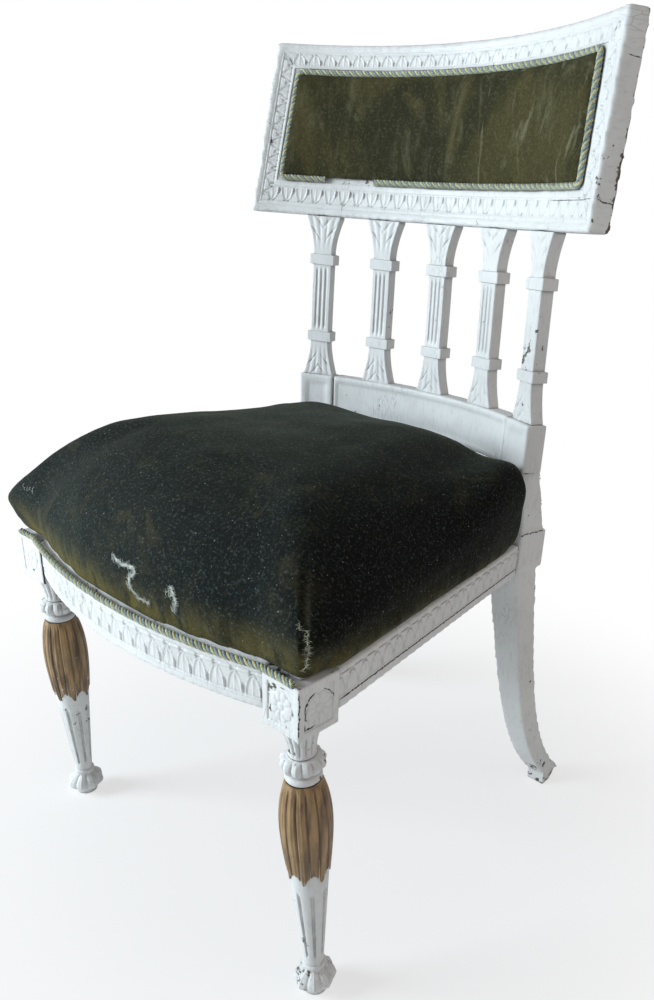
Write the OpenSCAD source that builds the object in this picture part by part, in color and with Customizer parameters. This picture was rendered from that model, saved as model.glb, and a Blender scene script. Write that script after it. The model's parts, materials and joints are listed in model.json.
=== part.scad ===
// Painted side chair with a stuffed seat: turned and carved front legs, sabre rear legs that run up into
// the outer back columns, a bowed front rail, three inner columns and a broad concave crest tablet.
// Millimetres. +Z is up, the sitter faces -Y, and the origin is on the floor under the box's middle.

/* [Seat frame] */
// Width over the two front corner blocks
seat_w = 456; // [420:1:500]
// Depth from the corner blocks' front faces to the rear posts
seat_d = 402; // [350:1:450]
// Width over the rear posts, at the seat
rear_w = 344; // [320:1:380]
// Height of the rails' visible top edge above the floor
rail_top = 367; // [340:1:410]
// Height of a rail's painted face
rail_h = 40; // [34:1:48]
// Thickness of a seat rail
rail_t = 22; // [20:1:26]
// How far the front rail bows forward at its middle
front_bow = 29; // [10:1:36]
// Height of the stepped strip above the painted face, which the upholstery is tacked to
tack_h = 10; // [6:1:14]
// Setback of that strip from the painted face
tack_setback = 6; // [4:0.5:8]
// Depth of the sunken carved bands and panels
carve_d = 1.5; // [0.8:0.1:2.5]

/* [Front legs] */
// Side of the square corner block
block_s = 45; // [42:1:52]
// How far the block reaches below the rails
block_drop = 11; // [6:1:16]
// Diameter of the fluted neck at its top
neck_d = 32; // [26:1:36]
// Diameter of the petal collar
collar_d = 39; // [34:1:44]
// Diameter of the ring under the collar
ring_d = 33; // [28:1:36]
// Swell of the gilt bulb's radius over a plain taper
bulb_swell = 6.3; // [3:0.1:8]
// Diameter of the white shaft at its top
shaft_d = 38.6; // [34:0.2:42]
// Diameter of the ankle
ankle_d = 18.6; // [16:0.2:24]
// Diameter of the carved cup foot
cup_d = 42; // [34:1:48]
// Diameter of the small pad under the cup
pad_d = 25; // [18:1:32]
// Outward lean of a front leg, in degrees
lean_out = 2.0; // [0:0.1:4]
// Backward lean of a front leg, in degrees
lean_back = 2.3; // [0:0.1:4]

/* [Rear posts] */
// Width of a post at the seat
post_w = 39; // [34:1:44]
// Width of the sabre leg at the foot
post_w_foot = 26; // [22:1:32]
// Depth of a post at the seat
post_t = 34; // [30:1:40]
// Outward spread of the sabre leg, from seat to foot
leg_splay = 46; // [20:1:60]
// Backward sweep of the sabre leg, from seat to foot
leg_sweep = 68; // [40:1:90]
// Angle by which the posts' side faces turn outward, in degrees
side_turn = 12; // [6:1:18]
// Height of the carved foot block
toe_h = 17; // [12:1:22]
// Radius of the rolled heel behind it
heel_r = 14; // [10:0.5:18]
// How far the seat block stands proud of the post
seat_block_proud = 3; // [2:0.5:5]

/* [Back] */
// Radius of the stay rail's front face, in plan
stay_r = 377; // [340:1:420]
// Distance from the corner blocks' front faces to the centre of the back's curve
back_centre = 41; // [20:1:60]
// Height of the stay rail's top above the floor
stay_top = 516; // [490:1:540]
// Height of the stay rail
stay_h = 55; // [45:1:60]
// Thickness of the stay rail
stay_t = 22; // [18:1:26]
// Angle between neighbouring columns, in degrees
column_step = 12.6; // [11.8:0.1:13.4]
// Inward lean of a column for each step from the middle, in degrees
column_lean = 0.7; // [0:0.1:1.2]
// Width of a column's shaft
column_w = 24; // [18:1:28]
// Thickness of a column
column_t = 16; // [13:0.5:18]
// Width of a column's square collars
column_collar_w = 32; // [28:1:36]
// Height of a column's square collars
column_collar_h = 12; // [9:1:15]
// Width of a column's capital and base
capital_w = 43; // [38:1:46]
// Height of the lower collar's middle above the stay rail
lower_collar = 49; // [42:1:56]
// Height of the upper collar's middle above the stay rail
upper_collar = 143; // [130:1:155]

/* [Crest tablet] */
// Height of the tablet's lower edge above the floor
tablet_bottom = 709; // [690:1:730]
// Height of the tablet
tablet_h = 184; // [160:1:210]
// Radius of the tablet's front face at its lower edge
tablet_r = 380; // [350:1:420]
// Backward lean of the tablet over its height
tablet_rake = 23; // [10:1:32]
// Thickness of the tablet
tablet_t = 23; // [20:1:28]
// Half angle that the tablet spans at its lower edge, in degrees
tablet_half_low = 38.5; // [36:0.1:42]
// Half angle that the tablet spans at its upper edge, in degrees
tablet_half_high = 34.2; // [32:0.1:38]
// Width of the tablet's outer fillet
fillet_w = 7; // [5:0.5:10]
// Width of the tablet's top and side borders, from the edge to the padded field
border_w = 26; // [22:1:32]
// Width of the tablet's lower border
border_low_w = 37; // [30:1:42]

/* [Upholstery] */
// How much lower the seat's front corners sit than its sides
seat_corner_drop = 17; // [0:1:24]
// How much higher the seat's sides stand at its rear corners
seat_rear_lift = 48; // [0:1:55]
// How much wider the seat bulges at its rear corners
seat_rear_fill = 6; // [0:1:10]
// Height of the seat's crown above the rails
seat_crown = 140; // [100:1:150]
// How far the seat bulges past the corner blocks
seat_bulge = 17; // [8:1:22]
// Thickness of the velvet cover with its lining
cover_t = 2.5; // [1.5:0.5:4]
// Width of a webbing strap
strap_w = 50; // [40:1:60]
// Thickness of a webbing strap
strap_t = 1.8; // [1.2:0.1:2.4]
// Thickness of the hessian and of the dust cloth
cloth_t = 1.2; // [0.8:0.1:2]
// Diameter of the rope trim on the seat
seat_cord_d = 7; // [5:0.5:8]
// Diameter of the rope trim round the back pad
pad_cord_d = 7; // [5:0.5:8]
// How far the back pad stands proud of its field
pad_proud = 8; // [5:0.5:12]
// Angles of the lost stretch of the back pad's lower trim, in degrees from the middle
trim_gap = [-24.4, -14.7];

/* [Joints] */
// Length of a rail's tenon
tenon_l = 18; // [12:1:20]
// Thickness of a tenon
tenon_t = 9; // [7:0.5:10]
// Height of a rail's tenon
tenon_h = 30; // [24:1:32]
// Diameter of the wooden pegs through the tenons
peg_d = 6; // [5:0.5:7]
// Clearance round a tenon or peg
joint_gap = 0.15; // [0.1:0.05:0.3]
// Clearance between a soft part and its neighbours
soft_gap = 0.5; // [0.3:0.1:1]

/* [Hidden] */
$fn = 96;

paint = [0.93, 0.94, 0.95];
velvet = [0.10, 0.14, 0.11];
olive = [0.34, 0.31, 0.12];
trim_colour = [0.66, 0.62, 0.35];
raw_wood = [0.62, 0.48, 0.33];
jute = [0.66, 0.56, 0.40];
eps = 0.01;
big = 1000;

// Seat frame, with y measured back from the corner blocks' front faces.
rail_low = rail_top - rail_h;
block_low = rail_low - block_drop;
tack_top = rail_top + tack_h;
rail_turn = atan((seat_w / 2 - 1 - rear_w / 2) / (seat_d - block_s));
rail_len = (seat_d - block_s) / cos(rail_turn);
block_inner = seat_w / 2 - block_s;
rail_recess = 2;
front_r = (pow(block_inner, 2) + pow(front_bow, 2)) / (2 * front_bow);
front_c = rail_recess - front_bow + front_r;
tenon_z = rail_low + (rail_h - tenon_h) / 2;
peg_high = tenon_z + tenon_h * 0.77;
peg_low = tenon_z + tenon_h * 0.23;

// Back, about one vertical axis.
column_r = tablet_r + 1;
column_h = tablet_bottom - stay_top;
outer_angle = 2 * column_step;
block_half = (capital_w + 4) / 2 / stay_r * 180 / PI;
stay_end = outer_angle - block_half;
block_proud = 1.5;
stile_top = stay_top - stay_h;
tablet_top = tablet_bottom + tablet_h;
tablet_slope = tablet_rake / tablet_h;
small_tenon = 16;

// Rear post: below the rails t runs from 0 to 1 at the foot block. Above the seat u runs from 0 to 1 at
// the stay rail.
post_z = rail_low - 2;
stile_z = tack_top + 4;
stile_dx = (stay_r - block_proud) * sin(outer_angle + block_half) - 2 - rear_w / 2;
stile_dy = back_centre + (stay_r - block_proud) * cos(outer_angle + block_half) + 5 - seat_d;
post_skew = cos(rail_turn + side_turn);

function sabre(t) = leg_sweep * (0.15 * t + 0.85 * pow(t, 5));
function level_t(z) = (post_z - z) / (post_z - toe_h);
function level_u(z) = max(0, (z - stile_z) / (stile_top - stile_z));
function corner_dx(z) = z < post_z ? leg_splay * level_t(z) : stile_dx * level_u(z);
function corner_dy(z) = z < post_z ? sabre(level_t(z)) : stile_dy * pow(level_u(z), 1.3);
function front_line(z) = corner_dy(z) * cos(rail_turn) - corner_dx(z) * sin(rail_turn);
function side_line(z) = corner_dx(z) * cos(side_turn) - corner_dy(z) * sin(side_turn);
function post_depth(z) = z < post_z
    ? post_t - 0.65 * post_t * level_t(z) + 0.44 * post_t * pow(level_t(z), 2)
    : post_t - 7 * level_u(z);
function post_width(z) = post_skew * (z < post_z
    ? post_w + (post_w_foot - post_w) * level_t(z)
    : post_w + level_u(z));
function levels(low, high, n, first = 0) = [for (i = [first:n]) low + (high - low) * i / n];
function reversed(list) = [for (i = [len(list) - 1:-1:0]) list[i]];

// The bounding box runs from the seat's front bulge to the rear heels.
heel_y = seat_d + leg_sweep + heel_r + 2;
seat_front_y = rail_recess - front_bow - 6;
front_y = -(seat_front_y + heel_y + heel_r) / 2;

module placed() {
    translate([0, front_y, 0]) children();
}

module on_side(side) {
    mirror([side < 0 ? 1 : 0, 0, 0]) children();
}

// The rear seat corner, turned square to the side rail.
module rail_frame() {
    translate([rear_w / 2, seat_d, 0]) rotate([0, 0, rail_turn]) children();
}

// The rear seat corner, turned along the post's side faces.
module side_frame() {
    translate([rear_w / 2, seat_d, 0]) rotate([0, 0, -side_turn]) children();
}

// The place of column i on the back's curve: x along the curve, y outward from its axis, z up the column.
module column_frame(i) {
    translate([0, back_centre, stay_top]) rotate([0, 0, -i * column_step]) rotate([0, -i * column_lean, 0])
        translate([0, 0, -stay_top]) children();
}

// A stretch of ring about the back's axis, from angle a to angle b, from radius r0 to r1.
module back_ring(r0, r1, z0, z1, a, b) {
    translate([0, back_centre, 0]) rotate([0, 0, 90 - b]) rotate_extrude(angle = b - a, $fn = 180)
        translate([r0, z0]) square([r1 - r0, z1 - z0]);
}

module rod(p, q, d) {
    v = q - p;
    translate(p) rotate([0, acos(v[2] / norm(v)), atan2(v[1], v[0])]) cylinder(h = norm(v), d = d, $fn = 24);
}

// --- Tenons and pegs, each made a little larger to cut its own mortise or hole ---

module front_rail_tenon(gap = 0) {
    translate([block_inner - 1, rail_recess + 6 - gap, tenon_z - gap])
        cube([tenon_l + 1 + gap, tenon_t + 2 * gap, tenon_h + 2 * gap]);
}

module side_rail_front_tenon(gap = 0) {
    rail_frame() translate([-rail_t / 2 - tenon_t / 2 - gap, -rail_len - tenon_l - gap, tenon_z - gap])
        cube([tenon_t + 2 * gap, tenon_l + 6 + gap, tenon_h + 2 * gap]);
}

module side_rail_rear_tenon(gap = 0) {
    rail_frame() translate([-rail_t / 2 - tenon_t / 2 - gap, -seat_block_proud - 1, tenon_z - gap])
        cube([tenon_t + 2 * gap, tenon_l + 1 + gap, tenon_h + 2 * gap]);
}

module rear_rail_tenon(gap = 0) {
    inner = -post_w * post_skew - seat_block_proud;
    side_frame() translate([inner - 1, 8 - gap, tenon_z - gap])
        cube([tenon_l - 3 + gap, tenon_t + 2 * gap, tenon_h + 2 * gap]);
}

module stay_tenon(gap = 0) {
    back_ring(stay_r + 7 - gap, stay_r + 7 + tenon_t + gap, stile_top + 9 - gap, stay_top - 9 + gap,
        stay_end - 0.2, stay_end + 2.4 + gap / 6);
}

module column_tenon(low, gap = 0) {
    z = low ? stay_top - small_tenon : tablet_bottom - 1;
    translate([-7 - gap, column_r + 4 - gap, z - gap])
        cube([14 + 2 * gap, column_t - 8 + 2 * gap, small_tenon + 1 + 2 * gap]);
}

module pegs(gap = 0) {
    d = peg_d + 2 * gap;
    // Through the front rail's tenon, from the block's back face.
    translate([block_inner + tenon_l / 2, block_s + gap, peg_low]) rotate([90, 0, 0])
        cylinder(h = block_s - 6 + 2 * gap, d = d, $fn = 32);
    // Through the side rail's front tenon, from the block's inner face.
    translate([block_inner - gap, block_s - 10, peg_high]) rotate([0, 90, 0])
        cylinder(h = block_s - 5 + 2 * gap, d = d, $fn = 32);
    // Through the side rail's rear tenon, square to the rail.
    rail_frame() translate([-post_w + 6 - gap, 8, peg_high]) rotate([0, 90, 0])
        cylinder(h = post_w - 10 + 2 * gap, d = d, $fn = 32);
}

// --- Front legs ---

function bulb_radius(t) = ring_d / 2 - 1 + (shaft_d - ring_d + 2) / 2 * t
    + bulb_swell * sin(180 * pow(t, 0.75));

neck_low = 284;
collar_low = 267;
ring_low = 259;
bulb_low = 154;
ankle_z = 36;
leg_scale = block_low / 316;

// Half outline of the turned leg: radius and height, for a block whose underside is at height block_low.
leg_outline = concat(
    [[0, block_low + 2], [neck_d / 2 + 2.5, block_low + 2], [neck_d / 2 + 2, (block_low - 3)]],
    [for (i = [0:6]) [neck_d / 2 - 4 * sin(15 * i),
        (block_low - 6) - (block_low - 8 - neck_low * leg_scale) * i / 6]],
    [[collar_d / 2 - 4, (neck_low) * leg_scale], [collar_d / 2 - 1, (neck_low - 3) * leg_scale],
     [collar_d / 2, (neck_low - 8) * leg_scale], [collar_d / 2 - 1.5, (neck_low - 14) * leg_scale],
     [collar_d / 2 - 6, collar_low * leg_scale], [ring_d / 2 - 1, (collar_low - 1) * leg_scale],
     [ring_d / 2, (collar_low - 4) * leg_scale], [ring_d / 2 - 1, (ring_low + 1) * leg_scale]],
    [for (i = [0:16]) [bulb_radius(i / 16), (ring_low + (bulb_low - ring_low) * i / 16) * leg_scale]],
    [[ankle_d / 2, ankle_z * leg_scale], [ankle_d / 2 + 2, (ankle_z - 1) * leg_scale],
     [ankle_d / 2 + 2, (ankle_z - 5) * leg_scale], [ankle_d / 2 + 1, (ankle_z - 6) * leg_scale]],
    [for (i = [0:5]) [ankle_d / 2 + 1 + (cup_d - ankle_d - 2) / 2 * sin(18 * i),
        ankle_z - 6 - 13 * (1 - cos(18 * i))]],
    [[cup_d / 2 - 1.5, 11], [pad_d / 2 + 2, 5], [pad_d / 2, 4], [pad_d / 2, -3], [0, -3]]);

module turned_leg() {
    difference() {
        translate([seat_w / 2 - block_s / 2, block_s / 2, block_low])
            rotate([lean_back, -lean_out, 0]) translate([0, 0, -block_low])
                rotate_extrude() polygon(leg_outline);
        translate([-big / 2, -big / 2, -big]) cube([big, big, big]);
        translate([block_inner - 20, -20, block_low + 1]) cube([block_s + 40, block_s + 40, 20]);
    }
}

// Sunken square panel with a rosette boss, cut into a face that lies in the XZ plane and looks along -Y.
module rosette_panel(w, h) {
    margin = 6;
    difference() {
        translate([margin, -1, margin]) cube([w - 2 * margin, 1 + carve_d, h - 2 * margin]);
        translate([w / 2, carve_d + eps, h / 2]) rotate([90, 0, 0])
            cylinder(h = carve_d, d = w - 2 * margin - 4);
    }
}

module leg_block() {
    h = rail_top - block_low;
    difference() {
        union() {
            translate([block_inner, 0, block_low]) cube([block_s, block_s, h]);
            translate([block_inner, tack_setback, block_low + 1])
                cube([block_s - tack_setback, block_s - tack_setback, h + tack_h - 1]);
        }
        translate([block_inner, 0, block_low]) rosette_panel(block_s, h);
        translate([seat_w / 2, 0, block_low]) rotate([0, 0, 90]) rosette_panel(block_s, h);
    }
}

module front_leg(side) {
    color(paint) placed() on_side(side) difference() {
        union() {
            leg_block();
            turned_leg();
        }
        front_rail_tenon(joint_gap);
        side_rail_front_tenon(joint_gap);
        pegs(joint_gap);
    }
}

module front_left_leg() { front_leg(-1); }
module front_right_leg() { front_leg(1); }

// --- Seat rails ---

// A bowed bar between the corner blocks, from radius r0 to r1 and from height z0 to z1.
module bowed_bar(r0, r1, z0, z1) {
    intersection() {
        translate([0, front_c, z0]) difference() {
            cylinder(h = z1 - z0, r = r1, $fn = 360);
            translate([0, 0, -1]) cylinder(h = z1 - z0 + 2, r = r0, $fn = 360);
        }
        translate([-block_inner, -100, z0 - 1]) cube([2 * block_inner, 160, z1 - z0 + 2]);
    }
}

module front_rail() {
    color(paint) placed() difference() {
        union() {
            bowed_bar(front_r - rail_t, front_r, rail_low, rail_top);
            bowed_bar(front_r - rail_t, front_r - tack_setback, rail_top - 1, tack_top);
            for (side = [-1, 1]) on_side(side) front_rail_tenon();
        }
        bowed_bar(front_r - carve_d, front_r + 5, rail_low + 6, rail_top - 6);
        for (side = [-1, 1]) on_side(side) pegs(joint_gap);
    }
}

module side_rail(side) {
    color(paint) placed() on_side(side) difference() {
        union() {
            difference() {
                rail_frame() translate([-rail_t, -rail_len - 20, rail_low])
                    cube([rail_t, rail_len + 20 - seat_block_proud, rail_h]);
                rail_frame() translate([-carve_d, -rail_len - 21, rail_low + 10])
                    cube([carve_d + 1, rail_len + 22, rail_h - 16]);
                translate([block_inner - 50, -50, rail_low - 1])
                    cube([block_s + 100, block_s + 50, rail_h + 2]);
            }
            difference() {
                rail_frame() translate([-rail_t, -rail_len - 20, rail_top - 1])
                    cube([rail_t - tack_setback, rail_len + 20 - notch_clear, tack_h + 1]);
                translate([block_inner - 50, -50, rail_top - 2])
                    cube([block_s + 100, block_s + 50, tack_h + 4]);
            }
            side_rail_front_tenon();
            side_rail_rear_tenon();
        }
        pegs(joint_gap);
    }
}

module left_side_rail() { side_rail(-1); }
module right_side_rail() { side_rail(1); }

// The part of the rear rail's bar that stops at a post's inner face.
module inside_post(grow) {
    inner = -post_w * post_skew - seat_block_proud;
    difference() {
        children();
        side_frame() translate([inner - grow, -100, 0]) cube([200, 300, big]);
        mirror([1, 0, 0]) side_frame() translate([inner - grow, -100, 0]) cube([200, 300, big]);
    }
}

module rear_rail() {
    color(paint) placed() {
        inside_post(0) translate([-rear_w / 2, seat_d + 2, rail_low]) cube([rear_w, rail_t, rail_h]);
        translate([-notch_x + 5, seat_d + 2, rail_top - 1])
            cube([2 * notch_x - 10, rail_t - tack_setback, tack_h + 1]);
        for (side = [-1, 1]) on_side(side) rear_rail_tenon();
    }
}

// --- Rear posts ---

// The sawn post through the heights zs: a side profile and a front outline, crossed at their own angles.
module post_bar(zs, grow) {
    side_profile = concat([for (z = zs) [front_line(z) - grow, z]],
        reversed([for (z = zs) [front_line(z) + post_depth(z) + grow, z]]));
    front_outline = concat([for (z = zs) [side_line(z) + grow, z]],
        reversed([for (z = zs) [side_line(z) - post_width(z) - grow, z]]));
    intersection() {
        rail_frame() translate([-150, 0, 0]) rotate([90, 0, 90]) linear_extrude(300) polygon(side_profile);
        side_frame() translate([0, 200, 0]) rotate([90, 0, 0]) linear_extrude(400) polygon(front_outline);
    }
}

module rear_foot() {
    x = rear_w / 2 + leg_splay;
    y = seat_d + leg_sweep;
    w = post_w_foot + 2;
    difference() {
        translate([x - w + 1, y - 2, 0]) cube([w, heel_r + 4, toe_h + 1]);
        translate([x - w + 4, y - 3, 4]) cube([w - 6, 1 + carve_d, toe_h - 6]);
    }
    translate([x - w + 2, heel_y, heel_r]) rotate([0, 90, 0]) cylinder(h = w - 2, r = heel_r);
}

module column_front(w_low, w_high) {
    flare = 30;
    half = column_w / 2;
    polygon(concat(
        [for (i = [0:8]) [half + (w_low / 2 - half) * pow(1 - i / 8, 2.2), flare * i / 8 + 8]],
        [for (i = [0:8]) [half + (w_high / 2 - half) * pow(i / 8, 2), column_h - 40 + 40 * i / 8]],
        [[w_high / 2, column_h + 2], [-w_high / 2, column_h + 2]],
        [for (i = [8:-1:0]) [-half - (w_high / 2 - half) * pow(i / 8, 2), column_h - 40 + 40 * i / 8]],
        [for (i = [8:-1:0]) [-half - (w_low / 2 - half) * pow(1 - i / 8, 2.2), flare * i / 8 + 8]],
        [[-w_low / 2, -3], [w_low / 2, -3]]));
}

// A back column that stands on the stay rail, a little too long at both ends.
module column_body() {
    flute_w = 3.2;
    difference() {
        union() {
            translate([0, column_r + column_t, stay_top]) rotate([90, 0, 0])
                linear_extrude(column_t) column_front(capital_w - 2, capital_w);
            for (z = [lower_collar, upper_collar])
                translate([-column_collar_w / 2, column_r - 2, stay_top + z - column_collar_h / 2])
                    cube([column_collar_w, column_t + 4, column_collar_h]);
        }
        for (i = [-1:1])
            translate([i * column_w / 3.6 - flute_w / 2, column_r - 1,
                stay_top + lower_collar + column_collar_h])
                cube([flute_w, 1 + carve_d, upper_collar - lower_collar - 2 * column_collar_h]);
    }
}

// Column i, leaning, with its ends cut level under the tablet and on the stay rail, or sunk into it.
module column_shaft(i, sink = 0) {
    intersection() {
        column_frame(i) column_body();
        translate([-big / 2, 0, stay_top - sink]) cube([big, big, column_h + sink]);
    }
}

module post_block() {
    difference() {
        back_ring(stay_r - block_proud, stay_r + stay_t + block_proud, stile_top, stay_top,
            stay_end + 0.03, outer_angle + block_half);
        back_ring(stay_r - 10, stay_r - block_proud + carve_d, stile_top + 9, stay_top - 9,
            stay_end + 1.3, outer_angle + block_half - 1.3);
    }
}

module rear_post(side) {
    color(paint) placed() on_side(side) difference() {
        union() {
            post_bar(concat(levels(toe_h, post_z, 16), levels(stile_z, stile_top + 1, 6)), 0);
            post_bar([rail_low + 6, stile_z], seat_block_proud);
            rear_foot();
            post_block();
            column_shaft(2, 1);
            column_frame(2) column_tenon(false);
        }
        side_rail_rear_tenon(joint_gap);
        rear_rail_tenon(joint_gap);
        stay_tenon(joint_gap);
        pegs(joint_gap);
    }
}

module rear_left_post() { rear_post(-1); }
module rear_right_post() { rear_post(1); }

// --- Back ---

module stay_rail() {
    color(paint) placed() difference() {
        union() {
            back_ring(stay_r, stay_r + stay_t, stile_top, stay_top, -stay_end, stay_end);
            for (side = [-1, 1]) on_side(side) stay_tenon();
        }
        back_ring(stay_r - 5, stay_r + carve_d, stile_top + 7, stay_top - 7,
            -stay_end + 0.6, stay_end - 0.6);
        for (i = [-1:1]) column_frame(i) column_tenon(true, joint_gap);
    }
}

module column(i) {
    color(paint) placed() {
        column_shaft(i);
        column_frame(i) column_tenon(true);
        column_frame(i) column_tenon(false);
    }
}

module left_column() { column(-1); }
module middle_column() { column(0); }
module right_column() { column(1); }

// A slice of the tablet's cone between two depths from its front face, inset from its edges.
module tablet_slice(depth0, depth1, side_inset, low_inset, high_inset) {
    z0 = tablet_bottom + low_inset;
    z1 = tablet_top - high_inset;
    r0 = tablet_r + tablet_slope * low_inset;
    r1 = tablet_r + tablet_rake - tablet_slope * high_inset;
    half = tablet_half_low + 4;
    difference() {
        translate([0, back_centre, 0]) rotate([0, 0, 90 - half]) rotate_extrude(angle = 2 * half, $fn = 180)
            polygon([[r0 + depth0, z0], [r0 + depth1, z0], [r1 + depth1, z1], [r1 + depth0, z1]]);
        for (side = [-1, 1]) on_side(side) tablet_end_cut(side_inset);
    }
}

// Everything past the tablet's end face, which leans inward from its lower corner to its upper one.
module tablet_end_cut(inset) {
    low = [tablet_r * sin(tablet_half_low), back_centre + tablet_r * cos(tablet_half_low)];
    high_r = tablet_r + tablet_rake;
    high = [high_r * sin(tablet_half_high), back_centre + high_r * cos(tablet_half_high)];
    turn = (tablet_half_low + tablet_half_high) / 2;
    lean = atan(((low[0] - high[0]) * cos(turn) - (low[1] - high[1]) * sin(turn)) / tablet_h);
    translate([low[0], low[1], tablet_bottom]) rotate([0, 0, -turn]) rotate([0, -lean, 0])
        translate([-inset, -200, -200]) cube([300, 400, 600]);
}

module crest_tablet() {
    color(paint) placed() difference() {
        union() {
            difference() {
                tablet_slice(0, tablet_t, 0, 0, 0);
                tablet_slice(-5, 2, fillet_w, fillet_w, fillet_w);
            }
            difference() {
                tablet_slice(1, 3, border_w - 4, border_low_w - 7, border_w - 4);
                tablet_slice(0, 5, border_w, border_low_w, border_w);
            }
        }
        for (i = [-2:2]) column_frame(i) column_tenon(false, joint_gap);
    }
}

module back_pad() {
    inset = pad_cord_d + 2;
    color(olive) placed()
        tablet_slice(-pad_proud + 2, 2 - eps, border_w + inset, border_low_w + inset, border_w + inset);
}

// Centre line of the pad's rope trim at a height: the radius, and the half angle that it spans.
function trim_radius(z) = tablet_r + tablet_slope * (z - tablet_bottom) + 2 - pad_cord_d / 2 - 0.6;
function trim_half(z) = tablet_half_low
    + (tablet_half_high - tablet_half_low) * (z - tablet_bottom) / tablet_h
    - (border_w + pad_cord_d / 2 + 1.3) / tablet_r * 180 / PI;
function trim_point(angle, z) = [trim_radius(z) * sin(angle), back_centre + trim_radius(z) * cos(angle), z];

module trim_arc(a, b, z) {
    translate([0, back_centre, z]) rotate([0, 0, 90 - b]) rotate_extrude(angle = b - a, $fn = 180)
        translate([trim_radius(z), 0]) circle(d = pad_cord_d, $fn = 24);
}

module back_pad_trim() {
    low = tablet_bottom + border_low_w + pad_cord_d / 2 + soft_gap;
    high = tablet_top - border_w - pad_cord_d / 2 - soft_gap;
    color(trim_colour) placed() {
        trim_arc(-trim_half(low), trim_gap[0], low);
        trim_arc(trim_gap[1], trim_half(low), low);
        trim_arc(-trim_half(high), trim_half(high), high);
        for (side = [-1, 1]) {
            rod(trim_point(side * trim_half(low), low), trim_point(side * trim_half(high), high),
                pad_cord_d);
            translate(trim_point(side * trim_half(low), low)) sphere(d = pad_cord_d + 0.8);
            translate(trim_point(side * trim_half(high), high)) sphere(d = pad_cord_d + 0.8);
        }
    }
}

// --- Upholstery ---

seat_mid = 190;
seat_back_y = seat_d + 2 + rail_t + cover_t + soft_gap;
seat_side_z = rail_top + 38;
tuck = 2.6;
notch_x = rear_w / 2 - post_w - 12;
notch_low = seat_d - 22 - post_w * sin(rail_turn);
notch_clear = 46;
crown_steps = [0.98, 0.95, 0.9, 0.84, 0.76, 0.65, 0.5, 0.3, 0.12];

function stay_front(x) = back_centre + sqrt(pow(stay_r, 2) - pow(x, 2));
function ramp(x, a, b) = let (u = max(0, min(1, (x - a) / (b - a)))) u * u * (3 - 2 * u);
function rearward(y) = ramp(y, 0.4 * seat_d, 0.87 * seat_d);
function seat_half(y, side) = seat_w / 2 + side + (side > 0 ? seat_rear_fill * rearward(y) : 0)
    - (seat_w - rear_w) / 2 * max(0, y - block_s) / (seat_d - block_s);
function seat_front(x, front) = min(0, rail_recess - front_bow * (1 - pow(x / block_inner, 2)))
    - front * (front > 0 ? 1 + pow(2 * x / seat_w, 2) : 1);

// Where the cushion ends in front of a rear post, which leans forward with height.
function notch_y(z) = notch_low + min(7.5, 19.2 + corner_dy(min(z, stile_top)));

// Right half of the seat's front and side outline, from the middle of the front round to the rear post, with
// the side and front bulging past the frame by the given amounts, corners of radius r, all set in by t.
function seat_right(side, front, r, t) = let (
    x1 = seat_half(0, side) - t - r,
    y1 = seat_front(x1, front) + t + r,
    y2 = notch_low - t - 12,
    ys = concat([y1], [for (i = [0:6]) block_s + (y2 - block_s) * i / 6])) concat(
    [for (i = [0:9]) [x1 * i / 9, seat_front(x1 * i / 9, front) + t]],
    [for (a = [20:20:80]) [x1 + r * sin(a), y1 - r * cos(a)]],
    [for (y = ys) [seat_half(y, side) - t, y]]);

// The rest of the right half, round the notch for the rear post and on to the middle of the back. The notch
// stays in place while the outline shrinks by s, until the outline has passed it.
function seat_rear(side, r, t, s, z) = let (
    x = (seat_half(notch_low, side) - t) * s,
    y = seat_mid + (seat_back_y - t - seat_mid) * s,
    y_in = min(notch_y(z) - t, y * 0.985),
    x_in = min(notch_x - t, x * 0.94)) [
    [x - r / 3, min(notch_y(z) - t, y * 0.97)],
    [x_in, y_in],
    [x_in - 1, y],
    [x_in / 2, y]];
function seat_side(side, front, r, t, s) = [for (p = seat_right(side, front, r, t))
    [p[0] * s, seat_mid + (p[1] - seat_mid) * s]];

// One ring of the seat's skin: the outline shrunk about the seat's middle, kept clear of the stay rail.
function seat_ring(side, front, r, t, s, z) = let (
    top = z + seat_rear_lift * shoulder(s, z),
    right = concat(seat_side(side, front, r, t, s), seat_rear(side, r, t, s, top)),
    middle = [[0, seat_mid + (seat_back_y - t - seat_mid) * s]],
    left = [for (i = [len(right) - 1:-1:1]) [-right[i][0], right[i][1]]])
    [for (p = concat(right, middle, left)) let (limit = stay_front(p[0]) - block_proud - soft_gap - t)
        [p[0], z > stile_top - 12 ? min(p[1], limit) : p[1],
            z - corner_drop(s, p[0], p[1]) + rear_lift(s, z, p[0], p[1])]];
function crown_z(s) = seat_side_z + (rail_top + seat_crown - seat_side_z) * pow(1 - pow(s, 4), 1 / 1.3);
function shoulder(s, z) = z < seat_side_z - 10 ? 0 : ramp(s, 0.72, 1);
function rear_lift(s, z, x, y) = seat_rear_lift * shoulder(s, z) * rearward(y)
    * ramp(abs(x), 0.7 * rear_w / 2, rear_w / 2);
function corner_drop(s, x, y) = seat_corner_drop * sin(180 * pow(s, 4)) * pow(2 * x / seat_w, 2)
    * (y < 110 ? 1 - pow(max(0, y) / 110, 2) : 0);

// The seat's skin from its lower edge to its crown, set in by t.
function lower_rings(t) = [seat_ring(-tuck, -tuck, 2, t, 1, rail_top + 0.2),
    seat_ring(-tuck, -tuck, 2, t, 1, rail_top + seat_cord_d + 1),
    seat_ring(seat_bulge * 0.55, 1, 10, t, 1, rail_top + 20)];
function upper_rings(t) = concat([seat_ring(seat_bulge, 6, 16, t, 1, seat_side_z)],
    [for (s = crown_steps) seat_ring(seat_bulge, 6, 16, t, s, crown_z(s) - t)]);

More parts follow.
